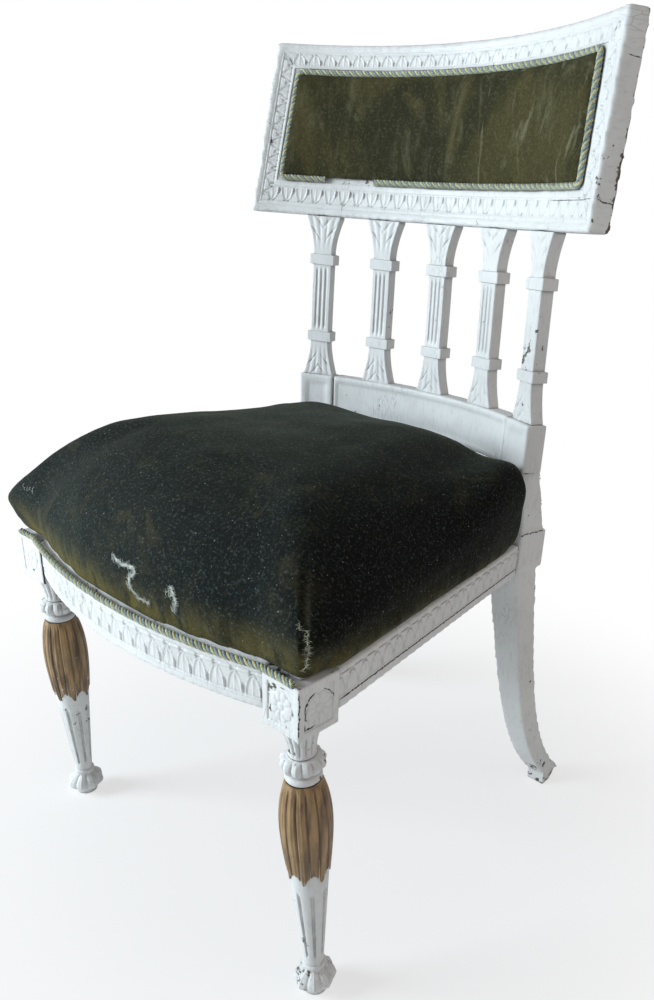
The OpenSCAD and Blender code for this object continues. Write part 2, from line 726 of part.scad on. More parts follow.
function ring_faces(i, n) = [for (j = [0:n - 1]) let (a = i * n, b = (i + 1) * n, k = (j + 1) % n)
    each [[a + j, b + j, b + k], [a + j, b + k, a + k]]];
function flipped(faces) = [for (f = faces) [f[2], f[1], f[0]]];
function shifted(faces, k) = [for (f = faces) [for (v = f) v + k]];
function cap(i, n) = [for (j = [0:n - 1]) i * n + j];

module seat_cover() {
    outer = concat(lower_rings(0), upper_rings(0));
    inner = concat(lower_rings(cover_t), upper_rings(cover_t));
    n = len(outer[0]);
    m = len(outer);
    points = [for (r = concat(outer, inner)) each r];
    sides = [for (i = [0:m - 2]) each ring_faces(i, n)];
    rim = [for (j = [0:n - 1]) let (k = (j + 1) % n) each [[j, k, m * n + k], [j, m * n + k, m * n + j]]];
    color(velvet) placed() polyhedron(points = points, faces = concat(sides, [reversed(cap(m - 1, n))],
        shifted(flipped(sides), m * n), shifted([cap(m - 1, n)], m * n), rim), convexity = 4);
}

module seat_stuffing() {
    t = cover_t + 0.1;
    base = tack_top + 2 * strap_t + cloth_t + 0.3;
    rings = concat([seat_ring(-tuck, -tuck, 2, t, 1, base), lower_rings(t)[2]], upper_rings(t));
    n = len(rings[0]);
    m = len(rings);
    color(jute) placed() polyhedron(points = [for (r = rings) each r],
        faces = concat([for (i = [0:m - 2]) each ring_faces(i, n)], [cap(0, n)], [reversed(cap(m - 1, n))]),
        convexity = 4);
}

module seat_trim() {
    z = rail_top + seat_cord_d / 2 + soft_gap;
    x = block_inner + 1;
    y0 = rail_recess - front_bow - 1.2;
    y1 = -2.4;
    r = (pow(x, 2) + pow(y1 - y0, 2)) / (2 * (y1 - y0));
    half = asin(x / r);
    color(trim_colour) placed() {
        translate([0, y0 + r, z]) rotate([0, 0, -90 - half]) rotate_extrude(angle = 2 * half, $fn = 360)
            translate([r, 0]) circle(d = seat_cord_d, $fn = 24);
        for (side = [-1, 1]) {
            translate([side * x, y1, z]) sphere(d = seat_cord_d + 0.6);
            rod([side * x, y1, z], [side * (seat_w / 2 - 3), y1, z], seat_cord_d);
        }
    }
}

module strap(x, y, w, l, z) {
    translate([x, y, z]) cube([w, l, strap_t]);
}

module long_webbing() {
    pitch = notch_x - strap_w / 2 - 6;
    start = rail_recess - front_bow + 20;
    color(jute) placed() for (i = [-1:1])
        strap(i * pitch - strap_w / 2, start, strap_w, seat_d + rail_t - tack_setback - start,
            tack_top + 0.05);
}

module cross_webbing() {
    pitch = (notch_low - 89) / 3;
    color(jute) placed() for (i = [0:2]) {
        y = 75 + i * pitch;
        half = rear_w / 2 - rail_t / 2 + (seat_d - y - strap_w) * tan(rail_turn);
        strap(-half, y, 2 * half, strap_w, tack_top + strap_t + 0.1);
    }
}

module hessian() {
    margin = cover_t + 2;
    front = rail_recess + 10;
    back = seat_d + rail_t - tack_setback;
    side = seat_half(notch_low, 0) - rail_t / 2;
    right = [[block_inner - 2, front], [side, notch_low - margin], [notch_x - margin, notch_low - margin],
        [notch_x - margin, back]];
    left = [for (i = [3:-1:0]) [-right[i][0], right[i][1]]];
    color(jute) placed() translate([0, 0, tack_top + 2 * strap_t + 0.15]) linear_extrude(cloth_t)
        polygon(concat(right, left));
}

// The cloth under the frame, torn away behind, with ragged edges left near the right rear leg.
module dust_cloth() {
    front = rail_recess + rail_t / 2;
    half_front = block_inner - 8;
    half_back = rear_w / 2 - rail_t / 2 - 3;
    back = seat_d - 12;
    color([0.16, 0.13, 0.13]) placed() translate([0, 0, rail_low - cloth_t - 0.05]) linear_extrude(cloth_t)
        polygon([[-half_front, front], [half_front, front], [half_front + 10, block_s + 12],
            [half_back + 6, back - 60], [half_back, back], [half_back - 16, back - 6],
            [half_back - 24, back - 34],
            [half_back - 46, back - 52], [half_back - 50, back - 96], [half_back - 92, back - 70],
            [half_back - 120, back - 28], [half_back - 160, back - 44], [half_back - 190, back - 4],
            [-half_back, back], [-half_front - 10, block_s + 12]]);
}

// --- Braces inside the frame ---

module front_brace(side) {
    color(raw_wood) placed() on_side(side) intersection() {
        translate([0, front_c, rail_low]) cylinder(h = rail_h, r = front_r - rail_t - 0.1, $fn = 360);
        difference() {
            translate([0, 0, rail_low + 4]) linear_extrude(rail_h - 10)
                polygon([[block_inner - 55, -10], [block_inner - 35, -10], [block_inner + 30, block_s + 34],
                    [block_inner + 30, block_s + 56]]);
            translate([block_inner - 0.1, -1, 0]) cube([block_s + 1, block_s + 1.1, big]);
            rail_frame() translate([-rail_t - 0.1, -big, 0]) cube([big, 2 * big, big]);
        }
    }
}

module front_left_brace() { front_brace(-1); }
module front_right_brace() { front_brace(1); }

module rear_block(side) {
    color(raw_wood) placed() on_side(side) rail_frame()
        translate([-rail_t - 16.1, -seat_block_proud - 36.1, rail_low + 4]) cube([16, 36, rail_h - 10]);
}

module rear_left_block() { rear_block(-1); }
module rear_right_block() { rear_block(1); }

module joint_pegs() {
    color(raw_wood) placed() for (side = [-1, 1]) on_side(side) pegs();
}

front_left_leg();
front_right_leg();
front_rail();
left_side_rail();
right_side_rail();
rear_rail();
rear_left_post();
rear_right_post();
stay_rail();
left_column();
middle_column();
right_column();
crest_tablet();
back_pad();
back_pad_trim();
seat_cover();
seat_stuffing();
seat_trim();
long_webbing();
cross_webbing();
hessian();
dust_cloth();
front_left_brace();
front_right_brace();
rear_left_block();
rear_right_block();
joint_pegs();
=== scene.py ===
"""Looks of a painted side chair with a stuffed velvet seat, built around its packed construction.

Lengths below are in millimetres in the chair's own frame, whose y is measured back from the front
corner blocks' faces; chair_to_row() turns them into the row frame's metres.
"""

import math

import bmesh
import bpy
import numpy as np
from mathutils import Matrix, Vector, noise
from mathutils.bvhtree import BVHTree
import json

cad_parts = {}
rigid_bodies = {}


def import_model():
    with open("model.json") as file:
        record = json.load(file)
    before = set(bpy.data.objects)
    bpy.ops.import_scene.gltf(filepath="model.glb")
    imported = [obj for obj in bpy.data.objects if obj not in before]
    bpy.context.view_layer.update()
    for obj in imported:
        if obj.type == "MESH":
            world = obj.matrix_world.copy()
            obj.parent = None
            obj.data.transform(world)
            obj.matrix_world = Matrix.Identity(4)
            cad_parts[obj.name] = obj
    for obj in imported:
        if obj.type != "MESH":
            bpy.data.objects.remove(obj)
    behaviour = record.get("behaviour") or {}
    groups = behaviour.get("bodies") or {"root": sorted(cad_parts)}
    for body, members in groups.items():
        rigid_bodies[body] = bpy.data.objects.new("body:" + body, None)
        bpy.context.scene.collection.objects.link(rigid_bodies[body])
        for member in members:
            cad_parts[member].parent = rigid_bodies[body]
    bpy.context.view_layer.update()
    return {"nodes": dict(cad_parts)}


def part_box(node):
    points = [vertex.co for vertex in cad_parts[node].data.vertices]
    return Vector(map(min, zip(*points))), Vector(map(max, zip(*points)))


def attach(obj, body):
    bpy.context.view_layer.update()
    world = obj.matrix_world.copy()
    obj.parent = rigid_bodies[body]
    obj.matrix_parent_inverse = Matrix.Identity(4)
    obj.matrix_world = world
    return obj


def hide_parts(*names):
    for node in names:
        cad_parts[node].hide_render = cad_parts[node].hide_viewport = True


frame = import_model()

# ---------------------------------------------------------------- sizes, in mm, from the frame where it holds them


def box_mm(node):
    low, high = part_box(node)
    return np.array(low) * 1000, np.array(high) * 1000


FRONT_Y = box_mm("front_rail")[0][1] + 27
HALF_W = box_mm("right_side_rail")[1][0] + 1
RAIL_LOW, TACK_TOP = box_mm("front_rail")[0][2], box_mm("front_rail")[1][2]
RAIL_TOP = TACK_TOP - 10
BLOCK = 45
BLOCK_LOW = RAIL_LOW - 11
REAR_X, SEAT_D = 172, 402
BLOCK_INNER = HALF_W - BLOCK
BOW, RECESS, CARVE = 29, 2, 1.5
FRONT_R = (BLOCK_INNER**2 + BOW**2) / (2 * BOW)
FRONT_C = RECESS - BOW + FRONT_R
RAIL_TURN = math.atan((HALF_W - 1 - REAR_X) / (SEAT_D - BLOCK))

BACK_C = 41
STAY_LOW, STAY_TOP = box_mm("stay_rail")[0][2], box_mm("stay_rail")[1][2]
TAB_LOW, TAB_TOP = box_mm("crest_tablet")[0][2], box_mm("crest_tablet")[1][2]
TAB_R, TAB_RAKE, TAB_T = 380, 23, 23
TAB_HALF_LOW, TAB_HALF_HIGH = math.radians(38.5), math.radians(34.2)
COLUMN_R, COLUMN_T = 381, 16
COLUMN_STEP, COLUMN_LEAN = math.radians(12.6), math.radians(0.7)
LEAN_BACK, LEAN_OUT = math.radians(2.3), math.radians(2.0)


def chair_to_row(co):
    """Points in the chair's frame, in mm, as row-frame metres."""
    co = np.asarray(co, float).copy()
    co[..., 1] += FRONT_Y
    return co / 1000


def smooth(x, a=0.0, b=1.0):
    """0 below a, 1 above b, and a smooth step between."""
    t = np.clip((np.asarray(x, float) - a) / (b - a), 0, 1)
    return t * t * (3 - 2 * t)


# ---------------------------------------------------------------- camera, lights and floor

cam_data = bpy.data.cameras.new("camera")
cam_data.lens = 27.91
cam_data.sensor_width = 36
cam_data.shift_x, cam_data.shift_y = -0.1029, 0.0733
camera = bpy.data.objects.new("camera", cam_data)
camera.location = chair_to_row([612.6, -350.7, 697.6])
camera.rotation_euler = (1.159, -0.073, 0.682)
bpy.context.scene.collection.objects.link(camera)
bpy.context.scene.camera = camera
bpy.context.scene.view_settings.view_transform = "Standard"


def area_light(name, place, target, size, power, colour):
    data = bpy.data.lights.new(name, "AREA")
    data.shape, data.size, data.energy, data.color = "DISK", size, power, colour
    lamp = bpy.data.objects.new(name, data)
    lamp.location = place
    lamp.rotation_euler = (Vector(target) - Vector(place)).to_track_quat("-Z", "Y").to_euler()
    bpy.context.scene.collection.objects.link(lamp)


area_light("window", (-1.7, -2.1, 1.25), (0, 0, 0.4), 1.4, 92, (0.80, 0.92, 1.0))
area_light("room", (2.2, 0.6, 1.7), (0, 0, 0.5), 1.8, 8, (1.0, 0.88, 0.78))


def node_tree(owner):
    owner.use_nodes = True
    tree = owner.node_tree
    tree.nodes.clear()
    return tree


def add(tree, kind, inputs=None, **props):
    """A node of that kind, with props set and inputs linked from sockets or set to values."""
    n = tree.nodes.new(kind)
    for k, v in props.items():
        setattr(n, k, v)
    for k, v in (inputs or {}).items():
        socket = n.inputs[k]
        if isinstance(v, bpy.types.NodeSocket):
            tree.links.new(v, socket)
        else:
            socket.default_value = v
    return n


world = bpy.data.worlds.new("soft_room")
bpy.context.scene.world = world
t = node_tree(world)
ray = add(t, "ShaderNodeLightPath")
room = add(t, "ShaderNodeBackground", {"Color": (0.86, 0.86, 0.88, 1), "Strength": 0.34})
white = add(t, "ShaderNodeBackground", {"Color": (1, 1, 1, 1), "Strength": 1.0})
mix = add(t, "ShaderNodeMixShader", {0: ray.outputs["Is Camera Ray"], 1: room.outputs[0], 2: white.outputs[0]})
add(t, "ShaderNodeOutputWorld", {"Surface": mix.outputs[0]})


def floor_material():
    """Pale floor that keeps the chair's shadow near it and fades to white further off."""
    m = bpy.data.materials.new("floor_white")
    t = node_tree(m)
    grain = add(t, "ShaderNodeTexNoise", {"Scale": 6.0, "Detail": 3.0})
    ramp = add(t, "ShaderNodeValToRGB", {"Fac": grain.outputs["Fac"]})
    ramp.color_ramp.elements[0].color = (0.93, 0.93, 0.93, 1)
    ramp.color_ramp.elements[1].color = (0.95, 0.95, 0.95, 1)
    bsdf = add(t, "ShaderNodeBsdfPrincipled", {"Base Color": ramp.outputs["Color"], "Roughness": 0.9})
    ray = add(t, "ShaderNodeLightPath")
    place = add(t, "ShaderNodeTexCoord")
    away = add(t, "ShaderNodeVectorMath", {0: place.outputs["Object"]}, operation="LENGTH")
    fade = add(t, "ShaderNodeMapRange", {"Value": away.outputs["Value"], "From Min": 0.20, "From Max": 0.85,
                                         "To Min": 0.60, "To Max": 1.0}, interpolation_type="SMOOTHSTEP")
    seen = add(t, "ShaderNodeMath", {0: fade.outputs[0], 1: ray.outputs["Is Camera Ray"]}, operation="MULTIPLY")
    glow = add(t, "ShaderNodeEmission", {"Color": (1, 1, 1, 1), "Strength": 1.0})
    both = add(t, "ShaderNodeMixShader", {0: seen.outputs[0], 1: bsdf.outputs[0], 2: glow.outputs[0]})
    add(t, "ShaderNodeOutputMaterial", {"Surface": both.outputs[0]})
    return m


bm = bmesh.new()
bmesh.ops.create_grid(bm, x_segments=4, y_segments=4, size=6)
floor_mesh = bpy.data.meshes.new("floor")
bm.to_mesh(floor_mesh)
bm.free()
floor_mesh.materials.append(floor_material())
floor = bpy.data.objects.new("floor", floor_mesh)
floor.location.z = -0.0005
bpy.context.scene.collection.objects.link(floor)

# ---------------------------------------------------------------- materials


class Shade:
    """A material being built: its tree, coordinates in metres, and short names for the usual nodes."""

    def __init__(self, name):
        self.material = bpy.data.materials.new(name)
        self.tree = node_tree(self.material)
        self.at = add(self.tree, "ShaderNodeTexCoord").outputs["Object"]

    def node(self, kind, inputs=None, **props):
        return add(self.tree, kind, inputs, **props)

    def scaled(self, sx, sy, sz):
        return self.node("ShaderNodeMapping", {"Vector": self.at, "Scale": (sx, sy, sz)}).outputs[0]

    def noise(self, scale, detail=3.0, rough=0.55, at=None, distortion=0.0):
        return self.node("ShaderNodeTexNoise", {"Vector": at or self.at, "Scale": scale, "Detail": detail,
                                                "Roughness": rough, "Distortion": distortion}).outputs["Fac"]

    def step(self, value, a, b, low=0.0, high=1.0):
        """Smoothly from low at a to high at b."""
        return self.node("ShaderNodeMapRange", {"Value": value, "From Min": a, "From Max": b, "To Min": low,
                                                "To Max": high}, interpolation_type="SMOOTHSTEP").outputs[0]

    def math(self, op, a, b=0.0):
        return self.node("ShaderNodeMath", {0: a, 1: b}, operation=op).outputs[0]

    def blend(self, fac, a, b, kind="MIX"):
        n = self.node("ShaderNodeMix", {0: fac}, data_type="RGBA", blend_type=kind)
        for socket, v in ((n.inputs[6], a), (n.inputs[7], b)):
            if isinstance(v, bpy.types.NodeSocket):
                self.tree.links.new(v, socket)
            else:
                socket.default_value = (*v, 1)
        return n.outputs[2]

    def axis(self, which):
        return self.node("ShaderNodeSeparateXYZ", {0: self.at}).outputs[which]

    def cavity(self, distance):
        """1 in the open and 0 deep in a hollow."""
        return self.node("ShaderNodeAmbientOcclusion", {"Distance": distance}, samples=8).outputs["AO"]

    def bump(self, height, distance, strength=1.0, normal=None):
        inputs = {"Height": height, "Distance": distance, "Strength": strength}
        if normal:
            inputs["Normal"] = normal
        return self.node("ShaderNodeBump", inputs).outputs[0]

    def finish(self, colour, rough, normal, **fixed):
        bsdf = self.node("ShaderNodeBsdfPrincipled", {"Base Color": colour, "Roughness": rough, "Normal": normal})
        for k, v in fixed.items():
            bsdf.inputs[k.replace("_", " ")].default_value = v
        self.node("ShaderNodeOutputMaterial", {"Surface": bsdf.outputs[0]})
        return self.material


def painted_wood(name, chips=0.5, hollow_dirt_and_shade=0.5, tint=(0.79, 0.79, 0.77), streak=(1, 1, 0.25), worn=None):
    """Old oil paint: brushed, cracked along the grain, greyed in hollows by dust and painted shade, and chipped down to
    dark wood.

    worn(s) gives a place, from 0 to 1, where far more of the paint has gone.
    """
    s = Shade(name)
    along = s.scaled(*streak)
    tone = s.blend(s.step(s.noise(9, 4), 0.3, 0.7), tuple(c * 0.90 for c in tint), tint)
    tone = s.blend(s.step(s.noise(45, 5, 0.7), 0.48, 0.75, 0, 0.4), tone, (0.62, 0.61, 0.58))
    # Dust and painted shade in hollows: greyed where the ambient occlusion finds a hollow, patchy by noise.
    hollow = s.step(s.cavity(0.006), 0.35, 0.95, 1, 0)
    grime_and_painted_shade = s.math("MULTIPLY", hollow, s.step(s.noise(60, 4), 0.30, 0.65, 0.35, 1.0))
    tone = s.blend(s.math("MULTIPLY", grime_and_painted_shade, 0.45 + 0.55 * hollow_dirt_and_shade), tone, (0.16, 0.15, 0.145))
    streaks = s.step(s.noise(330, 4, 0.65, along), 0.50, 0.78, 0, 0.38)
    tone = s.blend(streaks, tone, (0.42, 0.41, 0.40))
    # Fine cracks along the grain.
    crack = s.node("ShaderNodeTexVoronoi", {"Vector": along, "Scale": 190.0}, feature="DISTANCE_TO_EDGE")
    crack = s.step(crack.outputs["Distance"], 0.0, 0.035, 1, 0)
    crack = s.math("MULTIPLY", crack, s.step(s.noise(14, 4), 0.50, 0.66, 0, 0.55))
    tone = s.blend(crack, tone, (0.30, 0.28, 0.26))
    # Chips, most of them on worn edges.
    edge = s.step(s.node("ShaderNodeNewGeometry").outputs["Pointiness"], 0.52, 0.62)
    patchy = s.math("ADD", s.noise(120, 6, 0.65), s.math("MULTIPLY", s.noise(11, 2), 0.5))
    limit = 0.985 - 0.075 * chips
    patchy = s.math("ADD", patchy, s.math("MULTIPLY", edge, 0.10 * chips))
    if worn:
        patchy = s.math("ADD", patchy, s.math("MULTIPLY", worn(s), s.step(s.noise(38, 4, 0.7), 0.3, 0.7, 0.10, 0.42)))
    bare = s.step(patchy, limit, limit + 0.012)
    wood = s.blend(s.noise(160, 4, at=along), (0.055, 0.045, 0.038), (0.16, 0.13, 0.10))
    colour = s.blend(bare, tone, wood)
    brush = s.noise(260, 3, at=along)
    normal = s.bump(brush, 0.00025, 0.35)
    normal = s.bump(s.math("SUBTRACT", 1.0, s.math("MAXIMUM", bare, crack)), 0.0004, 0.8, normal)
    return s.finish(colour, s.step(s.noise(70, 3), 0.3, 0.7, 0.38, 0.60), normal, Specular_IOR_Level=0.4)


def gilt_wood(name):
    """Worn bronze-brown gilding over gesso, darker between the reeds with patina and painted shade."""
    s = Shade(name)
    along = s.scaled(1, 1, 0.12)
    tone = s.blend(s.step(s.noise(130, 5, 0.6, along), 0.30, 0.70), (0.085, 0.046, 0.016), (0.46, 0.28, 0.115))
    tone = s.blend(s.step(s.noise(18, 3), 0.35, 0.70, 0, 0.5), tone, (0.24, 0.135, 0.050))
    # Patina and painted shade: dark brown where the ambient occlusion finds the grooves between the reeds.
    hollow = s.step(s.cavity(0.004), 0.45, 0.98, 0.95, 0)
    tone = s.blend(hollow, tone, (0.030, 0.017, 0.009))
    low = s.step(s.axis(2), 0.166, 0.231, 0.050, 0)
    flaked = s.step(s.math("ADD", s.noise(210, 5, 0.7, s.scaled(1, 1, 0.5)), low), 0.690, 0.702)
    colour = s.blend(flaked, tone, (0.74, 0.72, 0.68))
    normal = s.bump(s.noise(420, 3, at=along), 0.0003, 0.4)
    return s.finish(colour, s.step(s.noise(80, 3), 0.3, 0.7, 0.30, 0.52), normal, Specular_IOR_Level=0.6)


def velvet(name, dark, mid, pale, gold, band=None, crush=(9.0, 9.0, 9.0), lint_and_side_shade=0.0, crease_highlight=None):
    """Crushed old velvet: patches where the pile lies differently, rubbed pale or faded, with lint on it."""
    s = Shade(name)
    warped = s.scaled(*crush)
    patch = s.step(s.noise(1.0, 5, 0.62, warped, 0.8), 0.36, 0.64)
    tone = s.blend(patch, dark, mid)
    tone = s.blend(s.step(s.noise(2.3, 5, 0.65, warped, 1.2), 0.52, 0.78, 0, 0.85), tone, pale)
    # Painted highlight: pale streaks along creases, mostly on the right half.
    if crease_highlight:
        crease = s.noise(1.0, 3, 0.5, s.scaled(34, 34, 7), 1.8)
        crease = s.math("MULTIPLY", s.step(crease, 0.56, 0.66), s.step(s.axis(0), -0.02, 0.09, 0.15, 1.0))
        tone = s.blend(s.math("MULTIPLY", crease, 0.55), tone, crease_highlight)
    if band:
        low, high = band
        fade = s.math("MULTIPLY", s.step(s.axis(2), low, high, 1, 0), s.step(s.axis(1), -0.19, -0.12, 1, 0.50))
        fade = s.math("MULTIPLY", fade, s.step(s.noise(14, 4), 0.25, 0.60, 0.30, 1))
        folds = s.noise(1.0, 4, 0.6, s.scaled(70, 70, 14))
        tone = s.blend(s.math("MULTIPLY", fade, s.step(folds, 0.32, 0.56, 0.15, 1)), tone, gold)
    else:
        tone = s.blend(s.step(s.noise(26, 4), 0.55, 0.8, 0, 0.5), tone, gold)
    weave = s.noise(900, 2, 0.6)
    tone = s.blend(s.math("MULTIPLY", weave, 0.45), tone, (0.0, 0.0, 0.0))
    # Painted shade: darker down the side faces, the more the surface faces sideways; dust all over, and specks of lint.
    facing = s.node("ShaderNodeSeparateXYZ", {0: s.node("ShaderNodeNewGeometry").outputs["Normal"]}).outputs[0]
    grain = s.noise(360, 3, 0.75)
    tone = s.blend(s.step(grain, 0.50, 0.72, 0, 0.38), tone, pale)
    tone = s.blend(s.step(grain, 0.50, 0.30, 0, 0.60), tone, dark)
    side = s.step(s.math("ABSOLUTE", facing), 0.45, 0.85, 0, 0.85 * lint_and_side_shade)
    if band:
        side = s.math("MULTIPLY", side, s.step(s.axis(2), low + 0.008, high, 0.25, 1))
    tone = s.blend(side, tone, (0.0, 0.0, 0.0))
    tone = s.blend(s.step(s.noise(420, 2, 0.7), 0.50, 0.78, 0, 0.34 * lint_and_side_shade), tone, (0.15, 0.18, 0.175))
    for cells, share, size in ((150.0, 0.88, 0.11), (330.0, 0.88, 0.16)):
        flock = s.node("ShaderNodeTexVoronoi", {"Vector": s.at, "Scale": cells})
        rare = s.node("ShaderNodeSeparateColor", {0: flock.outputs["Color"]}).outputs[0]
        rare = s.math("GREATER_THAN", rare, share)
        speck = s.math("MULTIPLY", s.step(flock.outputs["Distance"], 0.4 * size, size, 0.75 * lint_and_side_shade, 0), rare)
        tone = s.blend(speck, tone, (0.42, 0.45, 0.42))
    normal = s.bump(weave, 0.0006, 0.5)
    normal = s.bump(s.noise(90, 4, 0.6), 0.0010, 0.35, normal)
    return s.finish(tone, 0.90, normal, Sheen_Weight=0.10, Sheen_Roughness=0.40, Sheen_Tint=(0.50, 0.55, 0.40, 1),
                    Specular_IOR_Level=0.15)


def fibre(name, low, high, scale=700.0):
    """Twisted or combed yarn."""
    s = Shade(name)
    tone = s.blend(s.step(s.noise(scale, 3), 0.3, 0.7), low, high)
    tone = s.blend(s.step(s.noise(35, 3), 0.45, 0.75, 0, 0.5), tone, tuple(c * 0.45 for c in low))
    return s.finish(tone, 0.85, s.bump(s.noise(scale * 1.6, 2), 0.0004, 0.7), Sheen_Weight=0.2)


def woven(name, low, high, pitch=0.0022, bump=0.0005):
    """A plain weave, with threads that vary."""
    s = Shade(name)
    wave_x = s.node("ShaderNodeTexWave", {"Vector": s.at, "Scale": 0.16 / pitch, "Distortion": 0.6}, bands_direction="X")
    wave_y = s.node("ShaderNodeTexWave", {"Vector": s.at, "Scale": 0.16 / pitch, "Distortion": 0.6}, bands_direction="Y")
    threads = s.math("MULTIPLY", wave_x.outputs["Fac"], wave_y.outputs["Fac"])
    tone = s.blend(threads, low, high)
    tone = s.blend(s.step(s.noise(20, 4), 0.4, 0.75, 0, 0.6), tone, tuple(c * 0.5 for c in low))
    return s.finish(tone, 0.92, s.bump(threads, bump, 0.8))


def bare_wood(name):
    s = Shade(name)
    grain = s.noise(70, 4, 0.6, s.scaled(1, 1, 6))
    tone = s.blend(s.step(grain, 0.3, 0.7), (0.24, 0.15, 0.085), (0.42, 0.29, 0.17))
    tone = s.blend(s.step(s.noise(12, 4), 0.45, 0.75, 0, 0.6), tone, (0.12, 0.085, 0.06))
    return s.finish(tone, 0.75, s.bump(grain, 0.0005, 0.5))


def tablet_ends(s):
    """The rear edges of the tablet's ends, by distance from the back's axis and from the middle."""
    x, y = s.axis(0), s.math("SUBTRACT", s.axis(1), (BACK_C + FRONT_Y) / 1000)
    r = s.math("SQRT", s.math("ADD", s.math("MULTIPLY", x, x), s.math("MULTIPLY", y, y)))
    lean = s.math("MULTIPLY", s.axis(2), TAB_RAKE / (TAB_TOP - TAB_LOW))
    depth = s.math("SUBTRACT", s.math("SUBTRACT", r, lean), (TAB_R - TAB_RAKE * TAB_LOW / (TAB_TOP - TAB_LOW)) / 1000)
    rear = s.step(depth, 0.72 * TAB_T / 1000, 1.02 * TAB_T / 1000)
    return s.math("MULTIPLY", rear, s.step(s.math("ABSOLUTE", x), 0.215, 0.235))


def foot_end(s):
    """The last stretch of a rear leg."""
    return s.step(s.axis(2), 0.020, 0.065, 0.75, 0)


PAINT = painted_wood("paint_frame", chips=0.40, hollow_dirt_and_shade=0.5)
PAINT_CARVED = painted_wood("paint_carved", chips=0.10, hollow_dirt_and_shade=0.85)
PAINT_TABLET = painted_wood("paint_tablet", chips=0.42, hollow_dirt_and_shade=0.5, streak=(0.3, 0.3, 1), worn=tablet_ends)
PAINT_LEG = painted_wood("paint_leg", chips=0.75, hollow_dirt_and_shade=0.85)
PAINT_FOOT = painted_wood("paint_rear", chips=0.50, hollow_dirt_and_shade=0.7, worn=foot_end)
GILT = gilt_wood("gilding")
# The seat's lint setting also sets its painted shade down the sides.
VELVET_SEAT = velvet("velvet_green", (0.0050, 0.0090, 0.0085), (0.0120, 0.0175, 0.0145), (0.060, 0.052, 0.026),
                     (0.190, 0.150, 0.035), band=(RAIL_TOP / 1000 - 0.002, RAIL_TOP / 1000 + 0.052), lint_and_side_shade=1.0)
VELVET_PAD = velvet("velvet_olive", (0.030, 0.030, 0.013), (0.080, 0.068, 0.025), (0.16, 0.15, 0.080),
                    (0.12, 0.095, 0.035), crush=(14.0, 14.0, 6.0), crease_highlight=(0.28, 0.26, 0.16))
ROPE_GOLD = fibre("rope_gold", (0.42, 0.37, 0.15), (0.66, 0.60, 0.34))
ROPE_BLUE = fibre("rope_blue", (0.12, 0.19, 0.22), (0.34, 0.43, 0.46))
FRAY = fibre("frayed_thread", (0.50, 0.54, 0.48), (0.78, 0.82, 0.76))
SEAM = fibre("seam_thread", (0.20, 0.20, 0.12), (0.44, 0.46, 0.34))
DARK = fibre("dark_line", (0.030, 0.024, 0.020), (0.075, 0.060, 0.050), 300.0)
JUTE = woven("jute_web", (0.16, 0.12, 0.07), (0.42, 0.34, 0.22))
DUST = woven("dust_cloth_black", (0.012, 0.011, 0.011), (0.05, 0.047, 0.045), 0.0012, 0.0002)
WOOD = bare_wood("bare_wood_old")

# ---------------------------------------------------------------- making pieces


def piece(name, co, faces, material, slot, replaces=(), shade_smooth=True):
    """A mesh of those points, in the chair's frame, as a piece that rides on the chair."""
    mesh = bpy.data.meshes.new(name)
    mesh.from_pydata(chair_to_row(np.asarray(co).reshape(-1, 3)).tolist(), [], faces)
    mesh.validate()
    mesh.materials.append(material)
    if shade_smooth:
        mesh.shade_smooth()
    o = bpy.data.objects.new(name, mesh)
    bpy.context.scene.collection.objects.link(o)
    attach(o, "root")
    if replaces:
        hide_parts(*replaces)
    return o


def grid_faces(nu, nv, loop_u=False, loop_v=False):
    """Quads over a grid of nu by nv points, v running fastest."""
    i, j = np.meshgrid(np.arange(nu if loop_u else nu - 1), np.arange(nv if loop_v else nv - 1), indexing="ij")
    i2, j2 = (i + 1) % nu, (j + 1) % nv
    return np.stack([i * nv + j, i2 * nv + j, i2 * nv + j2, i * nv + j2], -1).reshape(-1, 4).tolist()


def relief(name, place, us, vs, height, material, flip=False, sink=1.4):
    """A carved surface: place(u, v, h) puts a point that stands h proud; its border is sunk into what carries it."""
    u, v = np.meshgrid(us, vs, indexing="ij")
    h = np.array(height(u, v), float)
    h[0, :] = h[-1, :] = h[:, 0] = h[:, -1] = -sink
    faces = grid_faces(len(us), len(vs))
    if flip:
        faces = [f[::-1] for f in faces]
    return piece(name, place(u, v, h), faces, material, "white_paint")


def along(a, b, step):
    """Numbers from a to b about step apart, with doubled ends for a relief's sunk border."""
    n = max(2, int(round(abs(b - a) / step)) + 1)
    return np.concatenate([[a], np.linspace(a, b, n), [b]])


def leaf_band(u, v, pitch):
    """Height, from 0 to 1, of a row of pointed leaves with darts between their tips; v runs from root to tip."""
    q = np.abs((u / pitch) % 1 - 0.5) * 2
    v = np.clip(v, 0, 1)
    bound = 0.90 * np.power(1 - np.power(v, 2.6), 0.55) + 0.001
    inner = smooth(bound - q, 0.0, 0.10)
    rim = inner * (1 - smooth(bound - q, 0.12, 0.26))
    rib = np.exp(-((q / 0.09) ** 2)) * smooth(v, 0.98, 0.75)
    veins = 0.5 + 0.5 * np.cos((q * 2.2 + v * 1.4) * 2 * math.pi)
    leaf = inner * (0.42 + 0.10 * veins) + 0.45 * rim + 0.28 * rib
    dart = smooth(0.10 + 0.62 * v - (1 - q), 0, 0.12) * smooth(v, 0.30, 0.60)
    return np.maximum(leaf, 0.62 * dart * (1 - inner)) * smooth(v, -0.02, 0.04)


def hand(u, v, size=0.10, scale=0.12):
    """Small unevenness of hand work and thick paint."""
    out = np.empty(np.shape(u))
    flat_u, flat_v, flat = np.ravel(u), np.ravel(v), out.reshape(-1)
    for i in range(flat.size):
        flat[i] = noise.noise(Vector((flat_u[i] * scale, flat_v[i] * scale, 3.7)))
    return out * size


